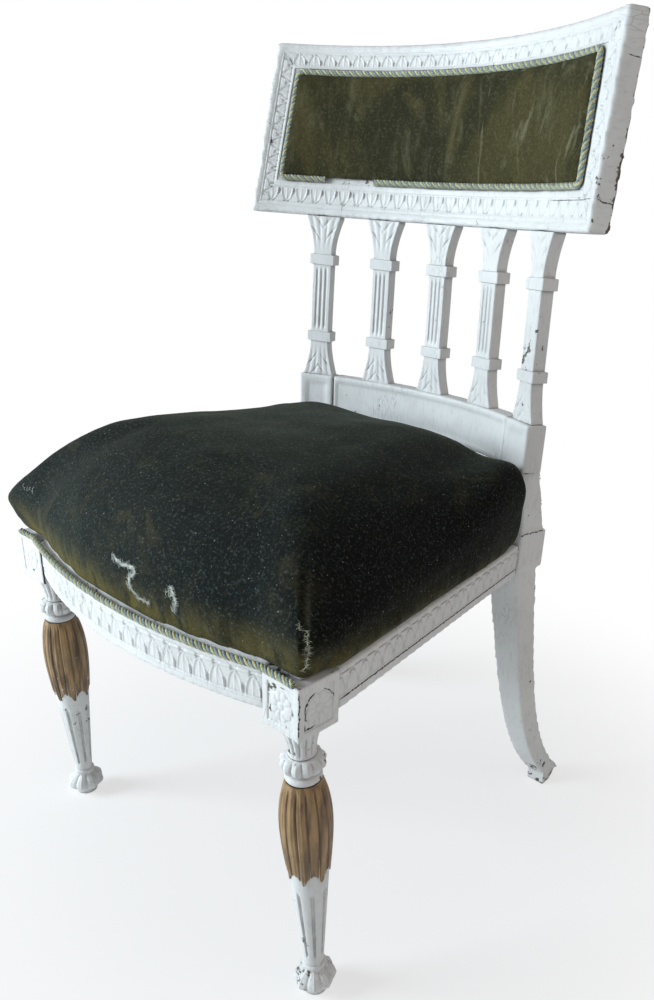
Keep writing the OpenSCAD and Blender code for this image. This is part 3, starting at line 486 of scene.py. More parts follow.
def worn_copy(node, name, material, voxel=1.8, below=None, rounds=4, wave=0.12):
    """A copy of a CAD solid with its arrises rubbed round, kept only below a height if one is given."""
    mesh = frame["nodes"][node].data.copy()
    bm = bmesh.new()
    bm.from_mesh(mesh)
    bmesh.ops.remove_doubles(bm, verts=bm.verts, dist=1e-6)
    if below is not None:
        cut = bmesh.ops.bisect_plane(bm, geom=bm.verts[:] + bm.edges[:] + bm.faces[:], plane_co=(0, 0, below / 1000),
                                     plane_no=(0, 0, 1), clear_outer=True)
        rim = [e for e in cut["geom_cut"] if isinstance(e, bmesh.types.BMEdge)]
        bmesh.ops.holes_fill(bm, edges=rim)
    bm.to_mesh(mesh)
    bm.free()
    mesh.materials.clear()
    mesh.materials.append(material)
    o = bpy.data.objects.new(name, mesh)
    bpy.context.scene.collection.objects.link(o)
    rem = o.modifiers.new("remesh", "REMESH")
    rem.mode, rem.voxel_size = "VOXEL", voxel / 1000
    soft = o.modifiers.new("rub", "SMOOTH")
    soft.factor, soft.iterations = 0.5, rounds
    apply_modifiers(o)
    co = coords(o)
    normals = np.empty(len(co) * 3)
    o.data.vertices.foreach_get("normal", normals)
    push = np.array([noise.noise(Vector(p) * 45) for p in co]) * wave / 1000
    set_coords(o, co + normals.reshape(-1, 3) * push[:, None])
    o.data.shade_smooth()
    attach(o, "root")
    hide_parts(node)
    return o


def coords(o):
    co = np.empty(len(o.data.vertices) * 3)
    o.data.vertices.foreach_get("co", co)
    return co.reshape(-1, 3)


def set_coords(o, co):
    o.data.vertices.foreach_set("co", np.asarray(co, np.float32).ravel())
    o.data.update()


def apply_modifiers(o):
    mesh = bpy.data.meshes.new_from_object(o.evaluated_get(bpy.context.evaluated_depsgraph_get()))
    materials = list(o.data.materials)
    o.modifiers.clear()
    o.data = mesh
    if not mesh.materials:
        for m in materials:
            mesh.materials.append(m)


# ---------------------------------------------------------------- the frame: rubbed copies of the construction

worn_copy("front_rail", "front_rail_wood", PAINT, voxel=2.1)
posts = {}
for side in ("left", "right"):
    worn_copy(f"{side}_side_rail", f"{side}_side_rail_wood", PAINT, voxel=2.1)
    posts[side] = worn_copy(f"rear_{side}_post", f"rear_{side}_post_wood", PAINT_FOOT, below=STAY_TOP - 0.2, voxel=2.3)
worn_copy("rear_rail", "rear_rail_wood", PAINT, voxel=2.2)
worn_copy("stay_rail", "stay_rail_wood", PAINT, voxel=1.9)
tablet = worn_copy("crest_tablet", "crest_tablet_wood", PAINT_TABLET, voxel=2.9, rounds=2)

# ---------------------------------------------------------------- carved bands on the rails

LEAF_PITCH = 18.5


def rail_band(u, v, low, tall):
    """Leaves with their tips up, between a bead and a fillet; v is the height above the band's lower edge."""
    leaves = leaf_band(u, (v - low) / tall, LEAF_PITCH)
    bead = np.exp(-(((v - low + 2.2) / 1.0) ** 2)) + np.exp(-(((v - low - tall - 2.0) / 1.0) ** 2))
    return 0.10 + 1.75 * leaves + 1.15 * bead + hand(u, v)


def on_front_rail(u, v, h):
    a = u / FRONT_R
    r = FRONT_R - CARVE + h
    return np.stack([r * np.sin(a), FRONT_C - r * np.cos(a), RAIL_LOW + 6 + v], -1)


half_arc = FRONT_R * math.asin(BLOCK_INNER / FRONT_R) - 0.3
relief("front_rail_carving", on_front_rail, along(-half_arc, half_arc, 0.9), along(0, 28, 0.9),
       lambda u, v: rail_band(u, v, 4.0, 19.5), PAINT_CARVED)


def on_side_rail(side):
    c, s = math.cos(RAIL_TURN), math.sin(RAIL_TURN)

    def place(u, v, h):
        x = REAR_X + c * (h - CARVE) + s * u
        y = SEAT_D + s * (h - CARVE) - c * u
        return np.stack([side * x, y, RAIL_LOW + 10 + v], -1)

    return place


rail_len = (SEAT_D - BLOCK) / math.cos(RAIL_TURN)
for side in (-1, 1):
    relief("side_rail_carving_" + "lr"[side > 0], on_side_rail(side), along(3.2, rail_len - 0.3, 0.9),
           along(0, 24, 0.9), lambda u, v: rail_band(u, v, 3.4, 17.5), PAINT_CARVED, flip=side > 0)

# ---------------------------------------------------------------- front legs


def block_face(u, v):
    """The corner block's face: a frame, a sunken square and a rosette, by distance from the lower left corner."""
    tall = RAIL_TOP - BLOCK_LOW
    d = np.minimum(np.minimum(u, BLOCK - u), np.minimum(v, tall - v))
    x, y = u - BLOCK / 2, v - tall / 2
    r, a = np.hypot(x, y), np.arctan2(y, x)
    ground = -1.5 * smooth(d, 6.5, 7.6) + 0.5 * np.exp(-(((d - 9.2) / 0.7) ** 2))
    edge = 14.2 + 0.7 * np.cos(10 * a)
    petals = (0.35 + 0.65 * np.abs(np.cos(5 * a)) ** 0.6) * smooth(r, 3.5, 6.5)
    flower = smooth(edge - r, 0, 1.2) * (0.5 + 1.2 * petals * (0.6 + 0.4 * smooth(r, 13.5, 9.0)))
    boss = 1.7 * np.sqrt(np.clip(1 - (r / 4.2) ** 2, 0, 1)) + 0.8 * np.exp(-(((r - 5.4) / 0.8) ** 2))
    return ground + np.where(r < 16, np.maximum(flower, boss), 0) + hand(u, v, 0.12, 0.2)


def leg_axis(side, co):
    """From a leg's own frame, upright with its origin at the block's underside, to the chair's frame."""
    lean = Matrix.Rotation(-LEAN_OUT, 3, "Y") @ Matrix.Rotation(LEAN_BACK, 3, "X")
    out = co @ np.array(lean).T
    out += [HALF_W - BLOCK / 2, BLOCK / 2, BLOCK_LOW]
    out[..., 0] *= side
    out[..., 2] = np.maximum(out[..., 2], 0.1)
    return out


def turned(name, side, rings, n, material, slot="white_paint"):
    """A leg's turned stretch: rings is a list of (heights, radii), each over n angles, from top to bottom."""
    a = np.arange(n) * 2 * math.pi / n
    co = [np.stack([r * np.cos(a), r * np.sin(a), z - BLOCK_LOW + 0 * a], -1) for z, r in rings]
    co = leg_axis(side, np.array(co))
    m = len(rings)
    faces = grid_faces(m, n, loop_v=True)
    faces += [list(range(n))[::-1], [(m - 1) * n + i for i in range(n)]]
    if side < 0:
        faces = [f[::-1] for f in faces]
    return piece(name, co, faces, material, slot)


def profile(points, zs):
    """Radius at each of the heights zs, through (height, radius) points given from top to bottom."""
    p = np.array(points[::-1], float)
    return np.interp(zs, p[:, 0], p[:, 1])


N_ROUND = 168
PHI = np.arange(N_ROUND) * 2 * math.pi / N_ROUND
FLUTES, PETALS, REEDS = 14, 12, 14
NECK = [(318, 18.2), (312, 17.0), (306, 15.4), (300, 13.8), (294, 12.8), (289, 12.2), (285, 12.6), (284, 13)]
COLLAR = [(285, 12.6), (283.5, 16.8), (281, 19.2), (277, 20.6), (273, 19.6), (269.5, 16.2), (267.5, 13.5)]
RING = [(267.6, 13.5), (266.5, 15.2), (264.5, 16.5), (261.5, 16.7), (259.8, 15.8), (258.6, 14.5)]
BULB_TOP, BULB_LOW, TIPS = 259, 154, 166
ANKLE_TOP, CUP_TOP = 36, 31
CUP = [(37, 9.4), (36, 10.6), (34.4, 11.6), (32.6, 11.6), (31.4, 10.6), (30.5, 10.2), (28, 12.0), (24.5, 16.4),
       (20, 19.8), (15.5, 20.8), (11, 19.0), (8.2, 15.6), (6.4, 13.2), (5, 12.5), (2.5, 12.6), (0, 12.0), (-3, 11.5)]


def bulb_radius(z):
    t = np.clip((BULB_TOP - z) / (BULB_TOP - BULB_LOW), 0, 1)
    return 15.5 + 3.8 * t + 6.3 * np.sin(math.pi * t**0.75)


def zigzag(a, count, phase=0.0):
    """0 to 1 and back, count times round."""
    return np.abs(((a * count / (2 * math.pi) + phase) % 1) * 2 - 1)


for side in (-1, 1):
    tag = "lr"[side > 0]
    x0 = HALF_W - BLOCK

    def on_block_front(u, v, h):
        return np.stack([side * (x0 + u), -h, BLOCK_LOW + v], -1)

    def on_block_side(u, v, h):
        return np.stack([side * (HALF_W + h), u, BLOCK_LOW + v], -1)

    tall = RAIL_TOP - BLOCK_LOW
    us, vs = along(0, BLOCK, 0.75), along(0, tall, 0.75)
    for face, place, flip in (("front", on_block_front, side < 0), ("side", on_block_side, side < 0)):
        def face_height(u, v):
            edge = np.minimum(np.minimum(u, BLOCK - u), np.minimum(v, tall - v))
            return block_face(u, v) - 0.8 * smooth(edge, 1.2, 0.0)
        relief(f"leg_block_{face}_{tag}", place, us, vs, face_height, PAINT_CARVED, flip, sink=2.5)

    # The block's body, stepped at the top for the tacks.
    body = []
    for z, grow in ((BLOCK_LOW, 1.6), (BLOCK_LOW + 0.7, 0.9), (RAIL_TOP - 0.7, 0.9), (RAIL_TOP, 1.6), (RAIL_TOP + 0.2, 10),
                    (TACK_TOP - 0.4, 10), (TACK_TOP, 10.5)):
        for cx, cy in ((x0 + grow * (z > RAIL_TOP), grow), (HALF_W - grow, grow),
                       (HALF_W - grow, BLOCK - 0.4), (x0 + grow * (z > RAIL_TOP), BLOCK - 0.4)):
            body.append([side * cx, cy, z])
    faces = grid_faces(7, 4, loop_v=True) + [[3, 2, 1, 0], [24, 25, 26, 27]]
    if side > 0:
        faces = [f[::-1] for f in faces]
    block = piece(f"leg_block_{tag}", body, faces, PAINT_LEG, "white_paint",
                  replaces=[f"front_{'left' if side < 0 else 'right'}_leg"], shade_smooth=False)

    neck = []
    for z in np.arange(317, 284.4, -1.5):
        depth = 1.7 * smooth(z, 286, 291) * smooth(z, 316, 308)
        groove = np.abs(np.sin(FLUTES * PHI / 2)) ** 0.55
        neck.append((z, profile(NECK, z) - depth * (1 - groove)))
    collar = []
    for z in np.concatenate([np.arange(285, 267.5, -0.8), [267.4]]):
        k = smooth(z, 267.5, 270) * smooth(z, 285, 282)
        petal = np.abs(np.cos(PETALS * PHI / 2)) ** 0.6
        rib = np.exp(-((np.sin(PETALS * PHI / 2) / 0.18) ** 2))
        collar.append((z, profile(COLLAR, z) - k * (2.3 * (1 - petal)) + 0.5 * k * rib))
    ring = [(z, profile(RING, z) + 0 * PHI) for z in np.linspace(267.6, 258.6, 12)]
    turned(f"leg_neck_{tag}", side, neck, N_ROUND, PAINT_LEG)
    turned(f"leg_collar_{tag}", side, collar, N_ROUND, PAINT_LEG)
    turned(f"leg_ring_{tag}", side, ring, N_ROUND, PAINT_LEG)

    tip = TIPS - 13 * zigzag(PHI, REEDS / 2, 0.1) - 3.0 * zigzag(PHI, REEDS, 0.3)
    bulb = []
    for k in np.linspace(0, 1, 66):
        z = BULB_TOP - k * (BULB_TOP - tip)
        reed = np.abs(np.cos(REEDS * PHI / 2)) ** 0.45
        fine = 0.30 * np.cos(REEDS * 3 * PHI + 0.6 * np.sin(z / 17))
        r = bulb_radius(z) + (1.7 * reed - 1.7 + fine) * smooth(z, BULB_TOP, BULB_TOP - 11) + 0.6
        bulb.append((z, r))
    bulb.append((tip, bulb_radius(tip) - 1.8))
    bulb.append((tip + 6, bulb_radius(tip) - 3.5))
    turned(f"leg_bulb_{tag}", side, bulb, N_ROUND, GILT, "gilding")

    shaft = []
    for z in np.concatenate([np.arange(TIPS + 14, 37, -1.5), [36.2]]):
        r = 18.7 - (18.7 - 9.3) * (BULB_LOW - z) / (BULB_LOW - ANKLE_TOP)
        slot_a = (PHI * 8 / (2 * math.pi) + 0.28) % 1
        slot = smooth(np.abs(slot_a - 0.5), 0.17, 0.10) * smooth(z, 46, 52) * smooth(z, 140, 130)
        shaft.append((z, r - 1.9 * slot + 0 * PHI))
    turned(f"leg_shaft_{tag}", side, shaft, N_ROUND, PAINT_LEG)

    cup = []
    for z in np.concatenate([np.arange(37, 4, -0.8), np.arange(4, -3.2, -1.2)]):
        k = smooth(z, 6, 11) * smooth(z, 31, 27)
        petal = np.abs(np.cos(4 * PHI)) ** 0.5
        rib = np.exp(-((np.sin(4 * PHI) / 0.14) ** 2))
        cup.append((z, profile(CUP, z) - 2.6 * k * (1 - petal) + 0.7 * k * rib))
    turned(f"leg_foot_{tag}", side, cup, N_ROUND, PAINT_LEG)

# ---------------------------------------------------------------- back columns

COLLARS = [(559, 571), (653, 665)]


def column_half_width(z):
    base = 12 + 8.5 * np.power(np.clip((559 - z) / (559 - STAY_TOP), 0, 1), 1.7)
    head = 12 + 9.7 * np.power(np.clip((z - TAB_LOW + 42) / 40, 0, 1), 1.7)
    return np.maximum(base, head)


def column_relief(s, z, fluted):
    """How far a point of the column's face stands proud, by its place s across, from -1 to 1, and its height."""
    shaft = smooth(z, 573, 580) * smooth(z, 651, 644)
    flutes = sum(np.exp(-(((s - c) / 0.13) ** 4)) for c in (-0.52, 0.0, 0.52))
    out = -1.3 * fluted * shaft * flutes
    for low, high, up in ((665, TAB_LOW, 1), (STAY_TOP, 559, -1)):
        k = (z - low) / (high - low) if up > 0 else (high - z) / (high - low)
        inside = smooth(k, 0.0, 0.08) * smooth(k, 1.02, 0.97)
        ridge = np.abs(np.cos(math.pi * (np.abs(s) * 2.2 - 0.1))) ** 0.6
        chevron = np.abs(((k * 2.1 - np.abs(s) * 1.1) % 1) - 0.5) * 2
        cut = smooth(chevron, 0.0, 0.22) * smooth(k, 0.30, 0.50) + (1 - smooth(k, 0.30, 0.50))
        out = out + inside * (-1.1 * (1 - ridge) * smooth(k, 0.05, 0.6) - 1.0 * (1 - cut))
    return out


def column(name, step, fluted, replaces=()):
    cuts = sorted(z + d for pair in COLLARS for z in pair for d in (-0.35, 0.35))
    zs = np.unique(np.concatenate([np.arange(STAY_TOP, TAB_LOW, 1.3), cuts, [TAB_LOW, TAB_LOW + 1.2]]))
    front_s = np.linspace(-1, 1, 33)
    rings = []
    for z in zs:
        collar = any(a <= z <= b for a, b in COLLARS)
        w = 16 if collar else float(column_half_width(z))
        y0, y1 = (-2, COLUMN_T + 2) if collar else (0, COLUMN_T)
        bev = 0.7
        x = front_s * (w - bev)
        out = 0 * front_s if collar else column_relief(front_s, z, fluted)
        out = out * smooth(1 - np.abs(front_s), 0.02, 0.10)
        front = np.stack([x, y0 - out, z + 0 * x], -1)
        sides = [[w, y0 + bev, z], [w, (y0 + y1) / 2, z], [w, y1 - bev, z], [w - bev, y1, z], [0, y1, z],
                 [-w + bev, y1, z], [-w, y1 - bev, z], [-w, (y0 + y1) / 2, z], [-w, y0 + bev, z]]
        rings.append(np.concatenate([front, sides]))
    co = np.array(rings)
    n = co.shape[1]
    lean = step * COLUMN_LEAN
    up = co[..., 2] - STAY_TOP
    x, y = co[..., 0] * math.cos(lean) - up * math.sin(lean), COLUMN_R + co[..., 1]
    x = x + 0.15 * np.sin(co[..., 2] / 23.0 + step)
    up = co[..., 0] * math.sin(lean) + up * math.cos(lean)
    co[..., 2] = STAY_TOP + np.clip(up, 0, TAB_LOW - STAY_TOP)
    a = step * COLUMN_STEP
    co[..., 0] = x * math.cos(a) + y * math.sin(a)
    co[..., 1] = BACK_C - x * math.sin(a) + y * math.cos(a)
    faces = grid_faces(len(zs), n, loop_v=True)
    faces = [f[::-1] for f in faces] + [list(range(n))[::-1], [(len(zs) - 1) * n + i for i in range(n)]]
    o = piece(name, co, faces, PAINT_CARVED, "white_paint", replaces)
    o.data.set_sharp_from_angle(angle=math.radians(38))
    return o


column("column_1", -2, 1.0)
column("column_2", -1, 1.0, ["left_column"])
column("column_3", 0, 1.0, ["middle_column"])
column("column_4", 1, 1.0, ["right_column"])
column("column_5", 2, 0.25)

# ---------------------------------------------------------------- carved borders of the crest tablet

BORDERS = {"top": (7, 11.5, 22, 26), "side": (7, 11.5, 22, 26), "low": (7, 14, 29.5, 37)}


def tablet_point(angle, z, proud):
    """A point standing proud of the tablet's sunken field."""
    r = TAB_R + TAB_RAKE * (z - TAB_LOW) / (TAB_TOP - TAB_LOW) + 2 - proud
    return np.stack([r * np.sin(angle), BACK_C + r * np.cos(angle), z], -1)


def end_angle(z):
    return TAB_HALF_LOW + (TAB_HALF_HIGH - TAB_HALF_LOW) * (z - TAB_LOW) / (TAB_TOP - TAB_LOW)


def border_height(u, d, edge, pitch=LEAF_PITCH):
    """The border's moulding by the distance d from the tablet's edge: grooves, leaves with tips out, a fillet."""
    start, band, leaf_end, inner = BORDERS[edge]
    grooves = 1.55 - 1.1 * np.exp(-(((d - start - 0.6) / 0.7) ** 2)) - 1.0 * np.exp(-(((d - band + 0.9) / 0.7) ** 2))
    leaves = 0.10 + 1.95 * leaf_band(u, (leaf_end - d) / (leaf_end - band), pitch)
    fillet = 1.5 - 0.9 * np.exp(-(((d - leaf_end - 0.6) / 0.6) ** 2))
    out = np.where(d < band, grooves, np.where(d < leaf_end, leaves, fillet))
    return out + hand(u, d, 0.12, 0.15)


def long_border(name, edge, sign):
    start, _, _, inner = BORDERS[edge]
    side_inner = BORDERS["side"][3]

    def geometry(s, d):
        z = TAB_TOP - d if sign > 0 else TAB_LOW + d
        mitre = d * side_inner / inner
        r = TAB_R + TAB_RAKE * (z - TAB_LOW) / (TAB_TOP - TAB_LOW)
        return s * (end_angle(z) - mitre / r), z, r

    def place(s, d, h):
        angle, z, _ = geometry(s, d)
        return tablet_point(angle, z, h)

    def height(s, d):
        angle, _, r = geometry(s, d)
        return border_height(angle * r, d, edge)

    relief(name, place, along(-1, 1, 2 / 560), along(start - 0.4, inner, 0.85), height, PAINT_CARVED, flip=sign > 0)


def short_border(name, side):
    start, _, _, inner = BORDERS["side"]
    low_inner = BORDERS["low"][3]

    def geometry(k, d):
        z0, z1 = TAB_LOW + d * low_inner / inner, TAB_TOP - d
        z = z0 + (z1 - z0) * k
        r = TAB_R + TAB_RAKE * (z - TAB_LOW) / (TAB_TOP - TAB_LOW)
        return side * (end_angle(z) - d / r), z

    def place(k, d, h):
        angle, z = geometry(k, d)
        return tablet_point(angle, z, h)

    relief(name, place, along(0, 1, 1 / 200), along(start - 0.4, inner, 0.85),
           lambda k, d: border_height(geometry(k, d)[1], d, "side"), PAINT_CARVED, flip=side < 0)


long_border("tablet_border_top", "top", 1)
long_border("tablet_border_low", "low", -1)
short_border("tablet_border_left", -1)
short_border("tablet_border_right", 1)

# ---------------------------------------------------------------- soft pieces


def soft_copy(node, name, material, voxel, pinned, cap, pressure, reshape, rounds=0):
    """A CAD soft solid, remeshed, rounded and swollen as cloth, with what pinned(co) picks held still."""
    mesh = frame["nodes"][node].data.copy()
    o = bpy.data.objects.new(name, mesh)
    bpy.context.scene.collection.objects.link(o)
    set_coords(o, reshape(coords(o)))
    rem = o.modifiers.new("remesh", "REMESH")
    rem.mode, rem.voxel_size = "VOXEL", voxel / 1000
    apply_modifiers(o)
    before = coords(o)
    round_off = o.modifiers.new("round", "SMOOTH")
    round_off.factor, round_off.iterations = 0.5, rounds
    apply_modifiers(o)
    start = np.where(pinned(before)[:, None], before, coords(o))
    set_coords(o, start)
    held = o.vertex_groups.new(name="held")
    held.add([int(i) for i in np.nonzero(pinned(start))[0]], 1.0, "REPLACE")
    cloth = o.modifiers.new("cloth", "CLOTH")
    cloth.settings.effector_weights.gravity = 0
    cloth.settings.use_pressure = True
    cloth.settings.uniform_pressure_force = pressure
    cloth.settings.vertex_group_mass = "held"
    cloth.settings.quality = 5
    cloth.settings.tension_stiffness = cloth.settings.compression_stiffness = 12
    cloth.settings.bending_stiffness = 0.8
    cloth.point_cache.frame_start, cloth.point_cache.frame_end = 1, 20
    for f in range(1, 21):
        bpy.context.scene.frame_set(f)
    apply_modifiers(o)
    bpy.context.scene.frame_set(1)
    o.vertex_groups.clear()
    moved = coords(o) - start
    far = np.linalg.norm(moved, axis=1)
    moved *= (np.minimum(far, cap / 1000) / np.maximum(far, 1e-9))[:, None]
    set_coords(o, start + moved)
    sub = o.modifiers.new("fine", "SUBSURF")
    sub.levels = sub.render_levels = 1
    apply_modifiers(o)
    o.data.materials.clear()
    o.data.materials.append(material)
    o.data.shade_smooth()
    return o


def chair_mm(co):
    out = co * 1000
    out[:, 1] -= FRONT_Y
    return out


def seat_reshape(co):
    p = chair_mm(co)
    low = p[:, 2] < TACK_TOP + 6.5
    co = co.copy()
    co[low, 2] = (RAIL_TOP + 0.8) / 1000
    return co


def seat_pinned(co):
    return co[:, 2] * 1000 < RAIL_TOP + 12


seat = soft_copy("seat_stuffing", "seat_velvet", VELVET_SEAT, 6.8, seat_pinned, 1.5, 1.0, seat_reshape, 14)


def dress_seat(o):
    """Puckers along the tacked edge, sags and hollows on top, pulled-in corner seams; the underside is lifted clear."""
    co = coords(o)
    normals = np.empty(len(co) * 3)
    o.data.vertices.foreach_get("normal", normals)
    normals = normals.reshape(-1, 3)
    p = chair_mm(co)
    x, y, z = p.T
    under = (normals[:, 2] < -0.75) & (z < TACK_TOP)
    round_about = np.arctan2(x, 190 - y) * 230
    low = smooth(z, RAIL_TOP + 42, RAIL_TOP + 4)
    pucker = low * (0.9 * np.sin(round_about / 4.1 + 1.3 * np.sin(round_about / 31)) + 0.5 * np.sin(round_about / 1.9))
    waves = np.array([noise.noise(Vector((a / 95, b / 95, c / 95))) for a, b, c in p]) * 3.2
    small = np.array([noise.noise(Vector((a / 30, b / 30, c / 30))) for a, b, c in p]) * 0.9
    seam = np.zeros(len(p))
    for side in (-1, 1):
        across = np.abs((side * x - (HALF_W - 2)) + (y - 6))
        seam += np.exp(-((across / 3.0) ** 2)) * smooth(y, 90, 20) * smooth(side * x, 150, 200) * smooth(z, 480, 430)
    push = (pucker + waves + small - 2.4 * seam) * smooth(z, RAIL_TOP + 7, RAIL_TOP + 20)
    # Along the side rails the velvet comes out nearly to the carved face.
    sides = smooth(np.abs(normals[:, 0]), 0.5, 0.9) * (1 - smooth(y, 335, 360)) * smooth(y, 25, 45)
    push += 4.0 * sides * (1 - smooth(z, RAIL_TOP + 14, RAIL_TOP + 34))
    p = p + normals * push[:, None]
    lifted = under & (p[:, 2] < TACK_TOP + 6)
    p[lifted, 2] = TACK_TOP + 5.6
    p[:, 1] += FRONT_Y
    set_coords(o, p / 1000)


dress_seat(seat)
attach(seat, "root")
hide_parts("seat_stuffing", "seat_cover")


def pad_pinned(co):
    p = chair_mm(co)
    r = np.hypot(p[:, 0], p[:, 1] - BACK_C)
    field = TAB_R + TAB_RAKE * (p[:, 2] - TAB_LOW) / (TAB_TOP - TAB_LOW) + 2
    return r > field - 2.5


def pad_reshape(co):
    """The pad grown all round, so that it fills up to its rope."""
    p = chair_mm(co)
    angle = np.arctan2(p[:, 0], p[:, 1] - BACK_C)
    r = np.hypot(p[:, 0], p[:, 1] - BACK_C)
    low, high = p[:, 2].min(), p[:, 2].max()
    grow = 4.0
    angle = angle * (1 + grow / (TAB_R * np.abs(angle).max()))
    middle = (low + high) / 2
    z = middle + (p[:, 2] - middle) * (1 + 2 * grow / (high - low))
    r = r + TAB_RAKE * (z - p[:, 2]) / (TAB_TOP - TAB_LOW)
    return chair_to_row(np.stack([r * np.sin(angle), BACK_C + r * np.cos(angle), z], -1))


pad = soft_copy("back_pad", "back_pad_velvet", VELVET_PAD, 4.3, pad_pinned, 2.5, 2.0, pad_reshape, 3)
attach(pad, "root")
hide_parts("back_pad")

# ---------------------------------------------------------------- rope trims


def resample(points, step):
    p = np.asarray(points, float)
    d = np.concatenate([[0], np.cumsum(np.linalg.norm(np.diff(p, axis=0), axis=1))])
    s = np.arange(0, d[-1], step)
    return np.stack([np.interp(s, d, p[:, i]) for i in range(3)], -1), s


def rope(name, points, towards, radius, replaces=()):
    """Four strands twisted round a line, two of each colour; towards(p) is the way out from the surface."""
    line, s = resample(points, 1.1)
    tangent = np.gradient(line, axis=0)
    tangent /= np.linalg.norm(tangent, axis=1)[:, None]
    out = towards(line)
    out -= tangent * np.sum(out * tangent, axis=1)[:, None]
    out /= np.linalg.norm(out, axis=1)[:, None]
    across = np.cross(tangent, out)
    sides = 7
    wobble = 0.12 * np.sin(s / 5.3) + 0.12 * np.sin(s / 2.9 + 1)
    for colour, material, shifts in (("gold", ROPE_GOLD, (0, 2)), ("blue", ROPE_BLUE, (1, 3))):
        co, faces = [], []
        for k in shifts:
            turn = 2 * math.pi * s / 17 + k * math.pi / 2
            core = line + (radius * 0.48 + wobble)[:, None] * (np.cos(turn)[:, None] * out + np.sin(turn)[:, None] * across)
            base = sum(len(c) for c in co)
            a = np.arange(sides) * 2 * math.pi / sides
            ring = core[:, None, :] + radius * 0.52 * (np.cos(a)[None, :, None] * out[:, None, :]
                                                       + np.sin(a)[None, :, None] * across[:, None, :])
            co.append(ring.reshape(-1, 3))
            faces += [[base + i for i in f] for f in grid_faces(len(line), sides, loop_v=True)]
            faces += [[base + i for i in range(sides)][::-1], [base + (len(line) - 1) * sides + i for i in range(sides)]]
        piece(f"{name}_{colour}", np.concatenate(co), faces, material, "rope_trim", replaces)


def pad_rope_line():
    """Round the back pad from one end of the lost stretch to the other."""
    d = 7
    low, high = TAB_LOW + BORDERS["low"][3] + d / 2 + 0.5, TAB_TOP - BORDERS["top"][3] - d / 2 - 0.5
    inset = BORDERS["side"][3] + d / 2 + 1.3
    gap = [math.radians(-24.4), math.radians(-14.7)]
    half = lambda z: end_angle(z) - inset / TAB_R
    loop = [(a, low) for a in np.linspace(gap[1], half(low) - 0.008, 60)]
    loop += [(half(z) , z) for z in np.linspace(low + 3, high - 3, 30)]
    loop += [(a, high) for a in np.linspace(half(high) - 0.008, -half(high) + 0.008, 120)]
    loop += [(-half(z), z) for z in np.linspace(high - 3, low + 3, 30)]
    loop += [(a, low) for a in np.linspace(-half(low) + 0.008, gap[0], 20)]
    return np.array([tablet_point(a, z, d / 2 + 0.6) for a, z in loop])


def to_back_centre(p):
    out = -p.copy()
    out[:, 1] += BACK_C
    out[:, 2] = 0
    return out


rope("pad_rope", pad_rope_line(), to_back_centre, 3.4, ["back_pad_trim"])

bow_y0, bow_y1, rope_x = RECESS - BOW - 1.2, -2.4, BLOCK_INNER + 1
rope_r = (rope_x**2 + (bow_y1 - bow_y0) ** 2) / (2 * (bow_y1 - bow_y0))
xs = np.linspace(-rope_x, rope_x, 160)
seat_rope = [[-HALF_W + 15, bow_y1, RAIL_TOP + 4]]
seat_rope += [[x, bow_y0 + rope_r - math.sqrt(rope_r**2 - x**2), RAIL_TOP + 4] for x in xs]
seat_rope += [[HALF_W - 3, bow_y1, RAIL_TOP + 4]]
rope("seat_rope", seat_rope, lambda p: np.tile([0.0, -1.0, 0.3], (len(p), 1)), 3.4, ["seat_trim"])

# ---------------------------------------------------------------- wear: cracks, dirty joints, tears and threads; painted shadow with soiling under the side rails' carving


def skin(*objects):
    """The surfaces of those objects, in the chair's frame, to lay things on."""
    points, faces = [], []
    for o in objects:
        base = len(points)
        points += chair_mm(coords(o)).tolist()
        faces += [[base + i for i in p.vertices] for p in o.data.polygons]
    return BVHTree.FromPolygons(points, faces)


def unit(v):
    return v / np.linalg.norm(v, axis=-1, keepdims=True)


def laid(tree, points, step):
    """Points along a line, put down on a surface, with the surface's normals there and the way along."""
    line, s = resample(points, step)
    hits = [tree.find_nearest(Vector(p)) for p in line]
    co = np.array([h[0] for h in hits])
    return co, np.array([h[1] for h in hits]), unit(np.gradient(line, axis=0)), s


def score(name, tree, points, width, material=DARK, slot="white_paint", lift=0.15, seed=1.0):
    """A thin ragged strip that lies on a surface, drawn for cracks, for soiled joints and for painted shadow with
    soiling under a carved step.
    """
    co, normal, ahead, s = laid(tree, points, 0.7)
    across = unit(np.cross(normal, ahead))
    ragged = np.array([noise.noise(Vector((k / 2.3, seed, 0))) for k in s])
    wander = np.array([noise.noise(Vector((k / 5.0, seed, 9))) for k in s]) * width * 0.5
    taper = smooth(s, 0, 4) * smooth(s, s[-1], s[-1] - 4)
    half = width / 2 * (0.15 + 0.85 * taper) * np.clip(0.75 + 1.1 * ragged, 0.12, 2)
    edges = [co + across * (wander + k * half)[:, None] + normal * lift for k in (-1, 1)]
    return piece(name, np.stack(edges, 1), grid_faces(len(co), 2), material, slot)


